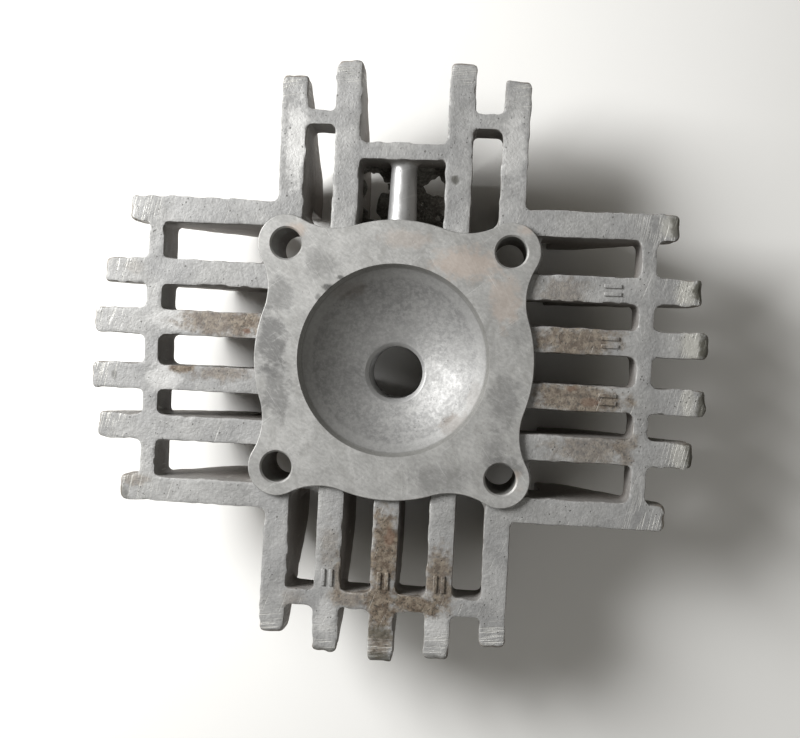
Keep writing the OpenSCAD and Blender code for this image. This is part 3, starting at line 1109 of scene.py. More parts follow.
def make_blotch_group():
    """Blotch: a ragged soft patch at a place, with a size along each axis."""
    inputs = {
        "Place": (VECTOR, (0, 0, 0)),
        "Size": (VECTOR, (0.01, 0.01, 0.01)),
        "Ragged": (FLOAT, 0.8),
        "Strength": (FLOAT, 1.0),
    }
    tree, start, end = new_group("Blotch", inputs, {"Mask": FLOAT})
    place = tree.place()
    away = tree.vector("SUBTRACT", place, start["Place"])
    away = tree.size_of(tree.vector("DIVIDE", away, start["Size"]))
    uneven = tree.minus(tree.noise(place, 380.0, 5.0, 0.65), 0.5)
    uneven = tree.times(uneven, tree.times(start["Ragged"], 2.4))
    away = tree.plus(away, uneven)
    tree.feed(end["Mask"], tree.times(tree.fade(away, 1.1, 0.45), start["Strength"]))


def make_scratch_group():
    """Scratches: thin bright lines in one direction, gathered in patches."""
    inputs = {
        "Turn": (FLOAT, 0.0),
        "Spacing": (FLOAT, 900.0),
        "Amount": (FLOAT, 0.5),
        "Shift": (VECTOR, (0, 0, 0)),
    }
    tree, start, end = new_group("Scratches", inputs, {"Mask": FLOAT})
    place = tree.vector("ADD", tree.place(), start["Shift"])
    stretched = tree.scaled(tree.turned(place, start["Turn"]), (1.0, 0.03, 0.03))
    lines = tree.noise(stretched, start["Spacing"], 2.0, 0.5)
    patch = tree.noise(place, 170.0, 2.0, 0.5)
    limit = tree.minus(0.78, tree.times(start["Amount"], 0.3))
    lines = tree.minus(tree.plus(lines, tree.times(patch, 0.3)), 0.15)
    tree.feed(end["Mask"], tree.fade(tree.minus(lines, limit), 0.0, 0.06))


def make_grime_and_shade_group():
    """Grime and painted shade on upright walls, stronger the deeper they lie below the gasket side."""
    outputs = {"Wall": FLOAT, "Deep": FLOAT}
    tree, start, end = new_group("Wall grime and shade", {"Depth": (FLOAT, 0.012)}, outputs)
    place = tree.place()
    highest = -0.002
    wall = tree.fade(tree.math("ABSOLUTE", tree.facing_up()), 0.85, 0.35)
    # Painted shade: the darkening grows with depth below the gasket side.
    deep = tree.math("DIVIDE", tree.minus(highest, tree.apart(place)["Z"]), start["Depth"])
    uneven = tree.minus(tree.noise(place, 220.0, 4.0, 0.6), 0.5)
    deep = tree.math("ADD", deep, uneven, clamp=True)
    tree.feed(end["Wall"], wall)
    tree.feed(end["Deep"], deep)


def make_wear_and_highlight_group():
    """Worn edges, partly a painted highlight: bright where an edge of the gasket side rounds over."""
    tree, start, end = new_group("Worn edges and highlights", {"Lowest": (FLOAT, -0.0035)}, {"Mask": FLOAT})
    place = tree.place()
    facing = tree.facing_up()
    rounded = tree.times(tree.fade(facing, 0.97, 0.86), tree.fade(facing, 0.25, 0.5))
    near = tree.fade(tree.minus(tree.apart(place)["Z"], start["Lowest"]), 0.0, 0.001)
    uneven = tree.fade(tree.noise(place, 600.0, 3.0, 0.6), 0.4, 0.6)
    tree.feed(end["Mask"], tree.times(tree.times(rounded, near), uneven))


def mm_vector(values):
    """A place or a size in metres, from millimetres."""
    return tuple(value * MM for value in values)


def new_material(name):
    """Starts a material and gives its tree and its shader."""
    material = bpy.data.materials.new(name)
    material.use_nodes = True
    shader = material.node_tree.nodes["Principled BSDF"]
    return Tree(material.node_tree), shader


def finish_metal(tree, shader, base, rough, metallic, bump):
    """Gives a shader its colour, roughness and metal look, and its bump of some strength and depth."""
    height, strength, depth = bump
    bumped = tree.add("ShaderNodeBump", {"Height": height, "Strength": strength, "Distance": depth})
    tree.feed(shader.inputs["Base Color"], base)
    tree.feed(shader.inputs["Roughness"], rough)
    tree.feed(shader.inputs["Normal"], bumped.outputs[0])
    shader.inputs["Metallic"].default_value = metallic


def blotches(tree, base, colour, patches):
    """Mixes a colour into base over ragged patches: place and size in mm, and strength."""
    for place, size, strength in patches:
        values = {"Place": mm_vector(place), "Size": mm_vector(size), "Strength": strength}
        base = tree.mix(tree.group("Blotch", **values)["Mask"], base, colour)
    return base


def paint(colour):
    """A panel colour as a socket takes it."""
    return (*colour, 1.0)


def tone(value, warm=0.01):
    """Grey of this lightness, a little warm where warm is above 0."""
    return (value * (1 + warm), value * (1 + warm / 2), value * (1 - 2 * warm), 1.0)


def bare_casting(tree, looks, place, grain):
    """Cloudy grey of the bare casting, with bright patches, and grime and painted shade on its walls."""
    dark = tone(looks.cast_tone * 0.72)
    light = tone(looks.cast_tone * 1.22)
    base = tree.mix(grain["Mottle"], dark, light)
    cloud = tree.noise(place, 75.0, 4.0, 0.6)
    base = tree.mix(tree.fade(cloud, 0.62, 0.4, 0, 0.3), base, tone(looks.cast_tone * 0.66, -0.01))
    base = blotches(tree, base, tone(looks.cast_tone * 1.9, 0.01), BARE_PATCHES)
    # Grime and painted shade: upright walls darken, more the deeper they lie below the gasket side.
    grime_and_shade = tree.group("Wall grime and shade", Depth=0.014)
    wall = tree.plus(tree.times(grime_and_shade["Deep"], 0.5), 0.3)
    wall = tree.times(grime_and_shade["Wall"], wall)
    return tree.mix(wall, base, paint(looks.grime_and_shade))


def oily_brown(tree, looks, place):
    """Mottled brown of the deposits, with dark pores."""
    oily = tree.noise(place, 620.0, 4.0, 0.7)
    brown = tree.mix(tree.fade(oily, 0.35, 0.65), paint(looks.deposit_dark), paint(looks.deposit_light))
    holes = tree.fade(tree.noise(place, 1700.0, 3.0, 0.6), 0.53, 0.66)
    return tree.mix(tree.times(holes, 0.7), brown, tone(0.03, 0.1))


def scraped_mask(tree, place, out):
    """Where the skin is scraped: across the fins' tips, and in stray lines elsewhere."""
    apart = tree.apart(place)
    tip = tree.fade(out, 0.061, 0.069)
    file_marks = {"Spacing": 4200.0, "Amount": 0.7}
    across_side = tree.group("Scratches", Turn=0.2, **file_marks)["Mask"]
    across_top = tree.group("Scratches", Turn=1.45, **file_marks)["Mask"]
    sideways = tree.math("GREATER_THAN", *[tree.math("ABSOLUTE", apart[axis]) for axis in "XY"])
    scrape = tree.add("ShaderNodeMix", {"Factor": sideways, "A": across_top, "B": across_side})
    scrape = tree.times(scrape.outputs["Result"], tip)
    shift = (0.11, 0.03, 0.0)
    stray = tree.group("Scratches", Turn=0.35, Spacing=2400.0, Amount=0.3, Shift=shift)["Mask"]
    return tree.math("MAXIMUM", scrape, tree.times(stray, 0.5))


def make_cast_skin(looks):
    """Grey cast aluminium with scraped tips, brown deposits, grime and painted shade on its walls, and worn
    edges that are partly a painted highlight.
    """
    tree, shader = new_material("cast_aluminium")
    grain = tree.group("Cast grain", Grain=1.0, Pore_Amount=0.55)
    place = tree.place()
    out = tree.out_from_middle(place)
    base = bare_casting(tree, looks, place, grain)
    brown = oily_brown(tree, looks, place)
    base = blotches(tree, base, brown, DEPOSITS)
    base = blotches(tree, base, paint(looks.rust), RUST_SPOTS)
    base = blotches(tree, base, tone(0.10, 0.04), DARK_PITS)

    scrape = scraped_mask(tree, place, out)
    base = tree.mix(tree.times(scrape, 0.5), base, tone(0.68, 0.03))
    base = blotches(tree, base, tone(0.5, 0.04), SCRAPED_BANDS)
    # Worn edges and painted highlight: the rounded edges near the gasket side are lightened.
    worn = tree.group("Worn edges and highlights", Lowest=-0.0035)["Mask"]
    base = tree.mix(tree.times(worn, 0.45), base, tone(0.62, 0.01))
    end_face = tree.fade(tree.math("ABSOLUTE", tree.facing_up()), 0.96, 0.72)
    end_face = tree.times(end_face, tree.fade(out, 0.067, 0.07, 0, 0.7))
    base = tree.mix(end_face, base, brown)
    base = blotches(tree, base, tone(0.045, 0.15), DARK_TIPS)
    base = tree.mix(tree.times(grain["Pores"], 0.75), base, tone(0.10, 0.03))
    rough = tree.minus(0.62, tree.times(scrape, 0.25))
    height = tree.minus(grain["Height"], tree.times(scrape, 0.3))
    finish_metal(tree, shader, base, rough, looks.cast_metallic, (height, 0.55, 0.00035))


# Patches on the skins are given by their places and sizes in millimetres, and their strengths.
# Bare bright patches
BARE_PATCHES = [
    ((-25, 50, -1.5), (3.2, 12, 4), 0.75),
    ((25.5, 50, -1.5), (3.2, 10, 4), 0.5),
    ((-53, 7, -1.5), (6, 3, 4), 0.4),
    ((-54, -6.5, -1.5), (5, 5, 4), 0.4),
    ((-13, -60, -1.5), (3, 6, 4), 0.4),
    ((13, -62, -1.5), (3, 5, 4), 0.45),
]
# Filed light bands just before the dark ends of the right tips
SCRAPED_BANDS = [
    ((61.5, 33, -1.5), (2.6, 3, 4), 0.5),
    ((66, 18.4, -1.5), (2.6, 4, 4), 0.6),
    ((67.5, 6.5, -1.5), (2.6, 4, 4), 0.65),
    ((67.5, -6.5, -1.5), (2.4, 4, 4), 0.5),
    ((66, -18.4, -1.5), (2.6, 4, 4), 0.45),
]
# Dark ends of the worn tips
DARK_TIPS = [
    ((62.8, 33.4, -1.5), (2.0, 4.2, 3), 0.75),
    ((68.9, 19.0, -1.5), (2.0, 3.4, 3), 0.85),
    ((71.0, 6.4, -1.5), (2.1, 4.6, 3), 0.85),
    ((71.0, -6.6, -1.5), (2.4, 4.6, 3), 0.8),
    ((69.0, -18.6, -1.5), (2.1, 4.2, 3), 0.8),
    ((-62.8, -34.6, -1.5), (1.8, 2.6, 3), 0.5),
    ((0, -63.5, -1.5), (3.6, 2.2, 3), 0.6),
    ((0, -69.6, -1.5), (4.2, 1.8, 3), 0.7),
    ((-13, -68.6, -1.5), (4, 1.4, 3), 0.5),
    ((13, -68.6, -1.5), (4, 1.4, 3), 0.4),
]
# Brown oily deposits
DEPOSITS = [
    ((-40, 7, -1.5), (13, 4.4, 3), 0.8),
    ((-35, 8, -4), (6, 4, 6), 0.7),
    ((-50, -3.8, -1.5), (4.2, 1.9, 2), 1.0),
    ((-41, -5, -1.5), (9, 2.2, 2), 0.6),
    ((41, 6.5, -1.5), (12, 5, 5), 0.9),
    ((43, -6.6, -1.5), (13, 5, 5), 0.9),
    ((38, 17.5, -1.5), (7, 4, 4), 0.5),
    ((46, -18.5, -1.5), (12, 4.4, 4), 0.6),
    ((54, -17, -1.5), (3, 6, 4), 0.5),
    ((0, -45, -1.5), (4.6, 14, 6), 1.0),
    ((0, -57, -1.5), (5, 8, 5), 1.0),
    ((0, -65, -1.5), (4, 5, 5), 0.8),
    ((13, -50, -1.5), (4.2, 9, 5), 0.9),
    ((8, -56.5, -2), (9, 3, 4), 1.0),
    ((-8, -56, -2), (6, 2.6, 4), 0.7),
    ((-10.5, -51, -1.5), (1.6, 6, 4), 0.7),
    ((-21, -57, -1.5), (3, 3, 4), 0.35),
    ((-13, -44, -1.5), (2.6, 6, 4), 0.35),
    ((-60, -31, -1.5), (4, 2, 2), 0.5),
    ((-62, 19, -1.5), (3, 2, 2), 0.2),
]
# Small reddish spots
RUST_SPOTS = [
    ((-34.6, 5.2, -1.5), (1.2, 1.0, 2), 0.8),
    ((41, -4.4, -1.5), (1.6, 0.8, 2), 0.6),
    ((45.5, -7.2, -1.5), (2.2, 1.2, 2), 0.5),
    ((1, -41, -1.5), (1.2, 2.4, 2), 0.6),
]
# Dark pits in the casting
DARK_PITS = [
    ((12.2, 42, -1.5), (1.0, 1.2, 2), 1.0),
    ((-66, -6.5, -1.5), (0.8, 1.2, 3), 0.6),
    ((-6, -68, -1.5), (0.7, 0.7, 2), 0.6),
]


def brushed_face(tree, looks, place, grain):
    """Smeared and brushed grey of the machined face, with smudges, stains and pits."""
    face_tone = looks.faced_tone
    base = tree.mix(grain["Mottle"], tone(face_tone * 0.8, 0.012), tone(face_tone * 1.16, 0.012))
    smear = tree.noise(tree.scaled(place, (1, 0.6, 1)), 260.0, 5.0, 0.65, 0.8)
    base = tree.mix(tree.fade(smear, 0.46, 0.7, 0, 0.6), base, tone(face_tone * 0.68, 0.02))
    brushed = tree.noise(tree.scaled(tree.turned(place, 0.5), (0.45, 1, 1)), 1300.0, 5.0, 0.75)
    base = tree.mix(tree.fade(brushed, 0.45, 0.65, 0, 0.45), base, tone(face_tone * 0.66, 0.02))
    base = blotches(tree, base, tone(face_tone * 0.3, 0.01), FACE_SMUDGES)
    base = tree.mix(tree.fade(brushed, 0.5, 0.3, 0, 0.35), base, tone(face_tone * 1.2, 0.02))
    base = blotches(tree, base, paint(looks.face_stain), FACE_STAINS)
    return blotches(tree, base, tone(0.08, 0.02), FACE_PITS)


def cutter_arcs(tree, place):
    """Fine arcs round the cutter's middle, which lies outside the head."""
    cutter_middle = (-0.12, -0.05, 0)
    radius = tree.out_from_middle(tree.vector("SUBTRACT", place, cutter_middle))
    drift = tree.times(tree.noise(place, 60.0, 1.0), 0.004)
    turns = tree.add("ShaderNodeCombineXYZ", {"X": tree.plus(radius, drift)}).outputs[0]
    return tree.noise(turns, 1700.0, 2.0, 0.6)


def make_faced_metal(looks):
    """Machined gasket face: brushed streaks, arcs from the cutter, scratches, smudges, stains and painted
    shade on the surfaces that turn away from the face.
    """
    tree, shader = new_material("faced_aluminium")
    grain = tree.group("Cast grain", Grain=0.25, Pore_Amount=0.28)
    place = tree.place()
    base = brushed_face(tree, looks, place, grain)
    cutter = cutter_arcs(tree, place)
    scratch_a = tree.group("Scratches", Turn=-0.6, Spacing=3200.0, Amount=0.4)["Mask"]
    shift = (0.2, 0.1, 0)
    scratch_b = tree.group("Scratches", Turn=0.9, Spacing=3600.0, Amount=0.33, Shift=shift)["Mask"]
    scratch = tree.math("MAXIMUM", scratch_a, scratch_b)
    base = tree.mix(tree.fade(cutter, 0.55, 0.75, 0, 0.2), base, tone(0.66, 0.01))
    base = tree.mix(tree.times(scratch, 0.16), base, tone(0.8, 0.01))
    # Painted shade: every surface that turns away from the gasket face, such as the flange's edge, the lip
    # and the stud holes, is darkened.
    side = tree.fade(tree.facing_up(), 0.8, 0.3)
    base = tree.mix(tree.times(side, 0.72), base, tone(0.20, 0.03))
    base = tree.mix(tree.times(grain["Pores"], 0.6), base, tone(0.13, 0.03))
    rough = tree.plus(0.42, tree.times(grain["Mottle"], 0.12))
    height = tree.plus(tree.times(grain["Height"], 0.5), tree.times(cutter, 0.25))
    height = tree.minus(height, tree.times(scratch, 0.12))
    finish_metal(tree, shader, base, rough, looks.faced_metallic, (height, 0.35, 0.0002))


# Dark smudges on the gasket face
FACE_SMUDGES = [
    ((-28.5, 3, 0), (4, 9, 3), 0.75),
    ((-27, -8, 0), (4, 8, 3), 0.6),
    ((-27, 14, 0), (4, 5, 3), 0.45),
    ((27, -23, 0), (5, 3, 3), 0.55),
    ((24, -20, 0), (3, 5, 3), 0.4),
    ((-18, 21, 0), (4, 4, 3), 0.3),
    ((26, -8, 0), (4, 8, 3), 0.4),
    ((12, -27, 0), (8, 4, 3), 0.35),
    ((28, 8, 0), (4, 5, 3), 0.25),
]
# Pinkish brown stains on the gasket face
FACE_STAINS = [
    ((16, 23, 0), (9, 4.5, 3), 0.5),
    ((25, 15, 0), (4, 7, 3), 0.4),
    ((-24, 29, 0), (3, 2.4, 3), 0.45),
    ((27, -26, 0), (4, 3, 3), 0.35),
    ((2, 28, 0), (7, 2.5, 3), 0.25),
    ((29, 31, 0), (2, 1.6, 3), 0.4),
]
# Dark pits at the chamber's mouth
FACE_PITS = [
    ((-15.5, 16.3, 0), (1.6, 1.0, 1), 0.9),
    ((-13, 18.6, 0), (1.0, 0.6, 1), 0.8),
    ((-18, 13.8, 0), (0.9, 0.9, 1), 0.6),
]


def make_chamber_skin(looks):
    """Blasted satin skin of the bowl, with combustion stains, a painted highlight ring inside the lip and a
    painted shadow line at the mouth.
    """
    tree, shader = new_material("chamber_aluminium")
    grain = tree.group("Cast grain", Grain=0.35, Pore_Amount=0.2)
    place = tree.place()
    cloud = tree.noise(place, 90.0, 4.0, 0.6, 0.5)
    dark = tone(looks.chamber_tone * 0.82, 0.005)
    light = tone(looks.chamber_tone * 1.1, 0.008)
    base = tree.mix(tree.fade(cloud, 0.3, 0.7), dark, light)
    speckle = tree.fade(tree.noise(place, 900.0, 4.0, 0.7), 0.38, 0.62)
    base = tree.mix(tree.times(speckle, 0.6), base, tone(looks.chamber_tone * 1.5, 0.01))
    base = tree.mix(tree.times(grain["Mottle"], 0.5), base, tone(looks.chamber_tone * 0.7, 0.01))
    base = blotches(tree, base, paint(looks.deposit_dark), CHAMBER_STAINS)
    out = tree.out_from_middle(place)
    # Painted highlight: a lighter ring just inside the lip.
    base = tree.mix(tree.fade(out, 0.0190, 0.0198, 0, 0.35), base, tone(looks.chamber_tone * 1.5, 0.01))
    # Painted shadow: a dark thin line at the mouth and beyond it.
    base = tree.mix(tree.fade(out, 0.0211, 0.0216, 0, 0.5), base, tone(0.14, 0.03))
    base = tree.mix(tree.times(grain["Pores"], 0.5), base, tone(0.15, 0.02))
    rough = tree.plus(0.5, tree.times(grain["Mottle"], 0.14))
    finish_metal(tree, shader, base, rough, 0.5, (grain["Height"], 0.5, 0.0003))


# Brown traces at the bowl's rim
CHAMBER_STAINS = [
    ((15.5, -14.5, -3), (5, 3, 4), 0.55),
    ((19.5, -8, -3), (2.5, 5, 4), 0.3),
    ((-12, 16, -3), (6, 3, 4), 0.4),
]


def make_smooth_metal(looks):
    """Bright smooth metal with a few small pits."""
    tree, shader = new_material("smooth_aluminium")
    grain = tree.group("Cast grain", Grain=0.4, Pore_Amount=0.35)
    dark = tone(looks.smooth_tone * 0.9, 0.005)
    base = tree.mix(grain["Mottle"], dark, tone(looks.smooth_tone, 0.005))
    scratch = tree.group("Scratches", Turn=1.2, Spacing=1400.0, Amount=0.45)["Mask"]
    base = tree.mix(tree.times(scratch, 0.3), base, tone(0.5, 0.01))
    base = tree.mix(tree.times(grain["Pores"], 0.7), base, tone(0.2, 0.02))
    rough = tree.plus(0.42, tree.times(grain["Mottle"], 0.15))
    finish_metal(tree, shader, base, rough, 0.6, (grain["Height"], 0.35, 0.0003))


def make_dark_flash(looks):
    """Dark oily skin of the flash left in the pocket."""
    tree, shader = new_material("oily_flash")
    grain = tree.group("Cast grain", Grain=1.6, Pore_Amount=0.8)
    place = tree.place()
    base = tree.mix(grain["Mottle"], paint(looks.flash_tone), tone(0.2, 0.05))
    flecks = tree.fade(tree.noise(place, 900.0, 4.0, 0.7), 0.6, 0.75, 0, 0.6)
    base = tree.mix(flecks, base, tone(0.42, 0.03))
    rough = tree.minus(0.7, tree.times(grain["Mottle"], 0.3))
    finish_metal(tree, shader, base, rough, 0.3, (grain["Height"], 0.8, 0.0006))


# ---------- studio ----------

# Places, targets and sides of the two soft lights, in metres
KEY_LIGHT = ((-0.296, 0.133, 0.235), (0.12, -0.2, -0.036), 0.21)
FILL_LIGHT = ((0.25, -0.3, 0.8), (0.05, -0.1, 0), 0.6)
# How far the floor lies below the head, in metres
FLOOR_GAP = 0.0003


def make_floor(studio, floor_z):
    """Pale floor under the head."""
    bm = bmesh.new()
    bmesh.ops.create_grid(bm, x_segments=8, y_segments=8, size=studio.floor_size / 2)
    bmesh.ops.translate(bm, vec=(0, 0, floor_z), verts=bm.verts[:])
    mesh = bpy.data.meshes.new("studio_floor")
    bm.to_mesh(mesh)
    bm.free()
    tree, shader = new_material("pale_paper")
    place = tree.place()
    base = tree.mix(tree.noise(place, 40.0, 3.0), tone(studio.floor_tone), tone(studio.floor_tone * 1.02))
    tree.feed(shader.inputs["Base Color"], base)
    shader.inputs["Roughness"].default_value = 0.85
    shader.inputs["Specular IOR Level"].default_value = 0.2
    mesh.materials.append(bpy.data.materials["pale_paper"])
    floor = bpy.data.objects.new("studio_floor", mesh)
    bpy.context.scene.collection.objects.link(floor)
    floor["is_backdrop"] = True


def add_light(name, power, place, target, side):
    """Square soft light that looks from place to target, in watts and metres."""
    data = bpy.data.lights.new(name, "AREA")
    data.shape = "SQUARE"
    data.size = side
    data.energy = power
    light = bpy.data.objects.new(name, data)
    turn = (Vector(target) - Vector(place)).to_track_quat("-Z", "Y")
    light.matrix_world = Matrix.Translation(place) @ turn.to_matrix().to_4x4()
    bpy.context.scene.collection.objects.link(light)


def make_camera(studio):
    """Camera that looks down at the gasket face, a little turned and tilted."""
    data = bpy.data.cameras.new("camera")
    data.sensor_width = 36
    data.lens = studio.lens
    data.clip_start = 0.01
    camera = bpy.data.objects.new("camera", data)
    pitch = Matrix.Rotation(studio.camera_pitch, 3, "X")
    yaw = Matrix.Rotation(studio.camera_yaw, 3, "Y")
    roll = Matrix.Rotation(studio.camera_roll, 3, "Z")
    turned = (roll @ yaw @ pitch).transposed()
    place = turned @ Vector((-studio.camera_x, -studio.camera_y, studio.camera_distance))
    camera.matrix_world = Matrix.Translation(place) @ turned.to_4x4()
    bpy.context.scene.collection.objects.link(camera)
    bpy.context.scene.camera = camera


def make_world(studio):
    """Even warm light from all sides, and plain colours in the picture."""
    world = bpy.data.worlds.new("studio_world")
    bpy.context.scene.world = world
    world.use_nodes = True
    background = world.node_tree.nodes["Background"]
    background.inputs["Color"].default_value = paint(studio.room_colour)
    background.inputs["Strength"].default_value = studio.world_strength
    settings = bpy.context.scene.view_settings
    settings.view_transform = "Standard"
    settings.look = "None"


# ---------- panel values ----------


def size_property(name, description, millimetres):
    """A length, given here in millimetres."""
    return bpy.props.FloatProperty(
        name=name, description=description, default=millimetres * MM, unit="LENGTH", precision=5
    )


def number_property(name, description, default):
    """A plain number, such as a lightness or a power."""
    return bpy.props.FloatProperty(name=name, description=description, default=default)


def angle_property(name, description, radians):
    """An angle, given here in radians."""
    return bpy.props.FloatProperty(name=name, description=description, default=radians, subtype="ANGLE")


def colour_property(name, description, colour):
    """A colour as red, green and blue from 0 to 1."""
    return bpy.props.FloatVectorProperty(
        name=name, description=description, default=colour, subtype="COLOR", min=0, max=1
    )


class HeadSizes(bpy.types.PropertyGroup):
    """Sizes of the head's shapes that the frame doesn't give."""

    mouth_radius: size_property("Mouth radius", "Radius of the chamber's mouth", 22.25)
    ring_radius: size_property("Ring radius", "Outer radius of the sealing ring", 32.4)
    ear_hollow_radius: size_property("Ear hollow", "Radius of the hollow curves beside the ears", 15)
    flange_edge: size_property("Flange edge", "Rounding of the gasket face's outer edge", 0.2)
    lip_height: size_property("Lip height", "Depth of the steep lip at the mouth", 1.6)
    lip_taper: size_property("Lip taper", "How much the lip narrows over its depth", 0.7)
    bowl_depth: size_property("Bowl depth", "Depth of the bowl below the gasket face", 11)
    dome_wall: size_property("Dome wall", "Wall behind the bowl", 9)
    nut_room_edge: size_property("Nut room", "Half the side of the square room for the nuts", 36)
    plug_well_radius: size_property("Plug well", "Clearance radius round the plug", 15)
    rib_thickness: size_property("Rib thickness", "Thickness of the ribs to the stud columns", 8)
    rib_depth: size_property("Rib depth", "Depth of those ribs below the gasket face", 15)
    fin_top_thickness: size_property("Fin top", "Thickness of a fin at its flat top", 4.6)
    tip_height: size_property("Tip height", "Height of a fin's upright tip face", 6)
    tip_round: size_property("Tip round", "Rounding of a fin's tip corners", 1.3)
    tip_bevel: size_property("Tip bevel", "Worn bevel between a fin's tip and its gasket side", 0.5)
    slope_run: size_property("Slope run", "Length over which a fin's edge slopes up", 22)
    shoulder_round: size_property("Shoulder", "Rounding where the slope meets the top", 3.1)
    post_taper: number_property("Post taper", "Share by which the post narrows to the bridge", 0.16)
    web_draft: size_property("Web draft", "How much a web narrows over its height", 0.9)
    fillet: size_property("Fillet", "Rounding where the casting's parts meet", 1.7)
    grid_pitch: size_property("Skin step", "Distance between points of the rough skin", 0.42)
    skin_waves: size_property("Skin waves", "Height of the skin's slow waves", 0.05)
    skin_grain: size_property("Skin grain", "Height of the skin's grain", 0.03)
    edge_tears: size_property("Edge tears", "Depth of the tears along the gasket side's edges", 0.09)
    face_waves: size_property("Face waves", "Unevenness of the fins' gasket side", 0.035)
    thread_pitch: size_property("Thread pitch", "Pitch of the plug thread", 1.25)
    thread_height: size_property("Thread height", "Depth of the plug thread", 0.65)
    mark_length: size_property("Bar length", "Length of a raised bar", 4)
    mark_width: size_property("Bar width", "Width of a raised bar", 0.9)


class HeadLooks(bpy.types.PropertyGroup):
    """Tones and colours of the head's finishes."""

    cast_tone: number_property("Cast tone", "Lightness of the cast skin", 0.33)
    cast_metallic: number_property("Cast metallic", "Metal look of the cast skin", 0.25)
    faced_tone: number_property("Faced tone", "Lightness of the gasket face", 0.4)
    faced_metallic: number_property("Faced metallic", "Metal look of the gasket face", 0.45)
    chamber_tone: number_property("Chamber tone", "Lightness of the bowl", 0.28)
    smooth_tone: number_property("Smooth tone", "Lightness of the post", 0.4)
    # Grime and painted shade: this colour darkens the upright walls, most in the deep recesses.
    grime_and_shade: colour_property("Grime and shade", "Colour of grime and painted shade on upright walls", (0.22, 0.19, 0.165))
    deposit_dark: colour_property("Dark deposit", "Darker colour of the deposits", (0.1, 0.073, 0.052))
    deposit_light: colour_property("Light deposit", "Lighter colour of the deposits", (0.235, 0.195, 0.148))
    rust: colour_property("Rust", "Colour of the reddish spots", (0.15, 0.085, 0.055))
    face_stain: colour_property("Face stain", "Colour of the gasket face's stains", (0.5, 0.4, 0.33))
    flash_tone: colour_property("Flash", "Colour of the dark flash", (0.045, 0.038, 0.03))


class StudioValues(bpy.types.PropertyGroup):
    """Camera, light and floor."""

    lens: number_property("Lens", "Focal length in millimetres", 44.62)
    camera_pitch: angle_property("Camera pitch", "Turn about X", 0.0223)
    camera_yaw: angle_property("Camera yaw", "Turn about Y", -0.0740)
    camera_roll: angle_property("Camera roll", "Turn about Z", -0.0495)
    camera_x: size_property("Camera X", "The head's place to the right in the view", -1.685)
    camera_y: size_property("Camera Y", "The head's place upward in the view", 1.93)
    camera_distance: size_property("Camera distance", "Distance from the gasket face", 228.1)
    floor_size: size_property("Floor size", "Side of the floor", 3000)
    floor_tone: number_property("Floor tone", "Lightness of the floor", 0.86)
    key_power: number_property("Key light", "Power of the low light from the left", 3.1)
    fill_power: number_property("Fill light", "Power of the soft light from above", 0.9)
    room_colour: colour_property("Room colour", "Colour of the light from all sides", (1, 0.95, 0.84))
    world_strength: number_property("Room light", "Light from all sides", 0.12)


# ---------- operators ----------

# Node groups that the finishes share, and the finishes
EFFECTS = (make_grain_group, make_blotch_group, make_scratch_group, make_grime_and_shade_group, make_wear_and_highlight_group)
FINISHES = (make_cast_skin, make_faced_metal, make_chamber_skin, make_smooth_metal, make_dark_flash)


def head_of(context):
    """The head's sizes with the panel's present values."""
    return Head(context.scene.head_sizes)


class HEAD_OT_finishes(bpy.types.Operator):
    """Makes the shader node groups and the five finishes"""

    bl_idname = "head.finishes"
    bl_label = "Finishes"

    def execute(self, context):
        looks = context.scene.head_looks
        for make_group in EFFECTS:
            make_group()
        for make_finish in FINISHES:
            make_finish(looks)
        return {"FINISHED"}


class HEAD_OT_casting(bpy.types.Operator):
    """Builds the rough casting and cuts it into fins, webs, columns, dome and post"""

    bl_idname = "head.casting"
    bl_label = "Casting"

    def execute(self, context):
        head = head_of(context)
        grid = build_grid(head, context.scene.head_sizes)
        for make in (make_fins, make_webs, make_dome, make_columns, make_post):
            make(grid, head)
        return {"FINISHED"}


class HEAD_OT_gasket_flange(bpy.types.Operator):
    """Builds the machined flange with its ears and stud holes"""

    bl_idname = "head.gasket_flange"
    bl_label = "Gasket flange"

    def execute(self, context):
        make_flange(head_of(context), context.scene.head_sizes)
        return {"FINISHED"}


class HEAD_OT_chamber(bpy.types.Operator):
    """Builds the combustion chamber's bowl"""

    bl_idname = "head.chamber"
    bl_label = "Chamber"

    def execute(self, context):
        make_bowl(head_of(context))
        return {"FINISHED"}


class HEAD_OT_plug_boss(bpy.types.Operator):
    """Builds the tapped boss for the spark plug"""

    bl_idname = "head.plug_boss"
    bl_label = "Plug boss"

    def execute(self, context):
        make_plug_sleeve(head_of(context), context.scene.head_sizes)
        return {"FINISHED"}


class HEAD_OT_flash(bpy.types.Operator):
    """Builds the torn flash in the pocket"""

    bl_idname = "head.flash"
    bl_label = "Pocket flash"

    def execute(self, context):
        make_flash(head_of(context))
        return {"FINISHED"}


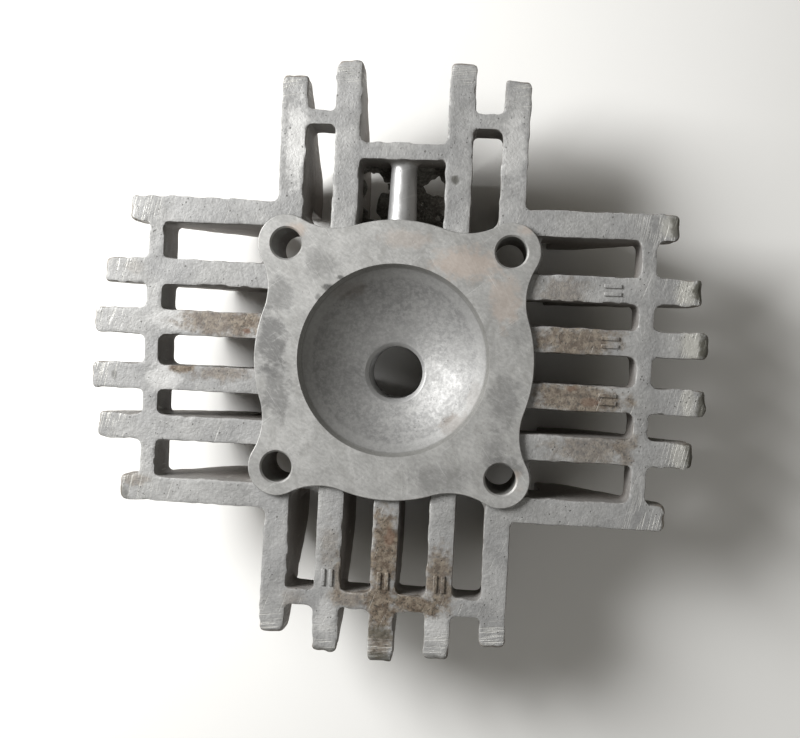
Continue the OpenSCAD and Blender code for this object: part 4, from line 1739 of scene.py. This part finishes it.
class HEAD_OT_marks(bpy.types.Operator):
    """Builds the plain raised bars on the fins"""

    bl_idname = "head.marks"
    bl_label = "Raised bars"

    def execute(self, context):
        make_marks(context.scene.head_sizes)
        return {"FINISHED"}


class HEAD_OT_stage(bpy.types.Operator):
    """Sets up the floor, the lights and the camera"""

    bl_idname = "head.stage"
    bl_label = "Studio"

    def execute(self, context):
        studio = context.scene.head_studio
        low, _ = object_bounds()
        make_floor(studio, low[2] - FLOOR_GAP)
        add_light("key_light", studio.key_power, *KEY_LIGHT)
        add_light("fill_light", studio.fill_power, *FILL_LIGHT)
        make_world(studio)
        make_camera(studio)
        return {"FINISHED"}


OPERATORS = (
    HEAD_OT_stage,
    HEAD_OT_finishes,
    HEAD_OT_casting,
    HEAD_OT_gasket_flange,
    HEAD_OT_chamber,
    HEAD_OT_plug_boss,
    HEAD_OT_flash,
    HEAD_OT_marks,
)


class HEAD_PT_panel(bpy.types.Panel):
    """Lists the head's steps and values"""

    bl_label = "Cylinder head"
    bl_idname = "HEAD_PT_panel"
    bl_space_type = "VIEW_3D"
    bl_region_type = "UI"
    bl_category = "Head"

    def draw(self, context):
        for operator in OPERATORS:
            self.layout.operator(operator.bl_idname)
        for group in (context.scene.head_sizes, context.scene.head_looks, context.scene.head_studio):
            for name in group.bl_rna.properties.keys():
                if name not in ("rna_type", "name"):
                    self.layout.prop(group, name)


VALUES = {"head_sizes": HeadSizes, "head_looks": HeadLooks, "head_studio": StudioValues}


def register():
    for name, group in VALUES.items():
        bpy.utils.register_class(group)
        setattr(bpy.types.Scene, name, bpy.props.PointerProperty(type=group))
    for operator in OPERATORS:
        bpy.utils.register_class(operator)
    bpy.utils.register_class(HEAD_PT_panel)


def unregister():
    bpy.utils.unregister_class(HEAD_PT_panel)
    for operator in reversed(OPERATORS):
        bpy.utils.unregister_class(operator)
    for name, group in reversed(VALUES.items()):
        delattr(bpy.types.Scene, name)
        bpy.utils.unregister_class(group)


def main():
    register()
    for operator in OPERATORS:
        category, step = operator.bl_idname.split(".")
        getattr(getattr(bpy.ops, category), step)()


if __name__ == "__main__":
    main()
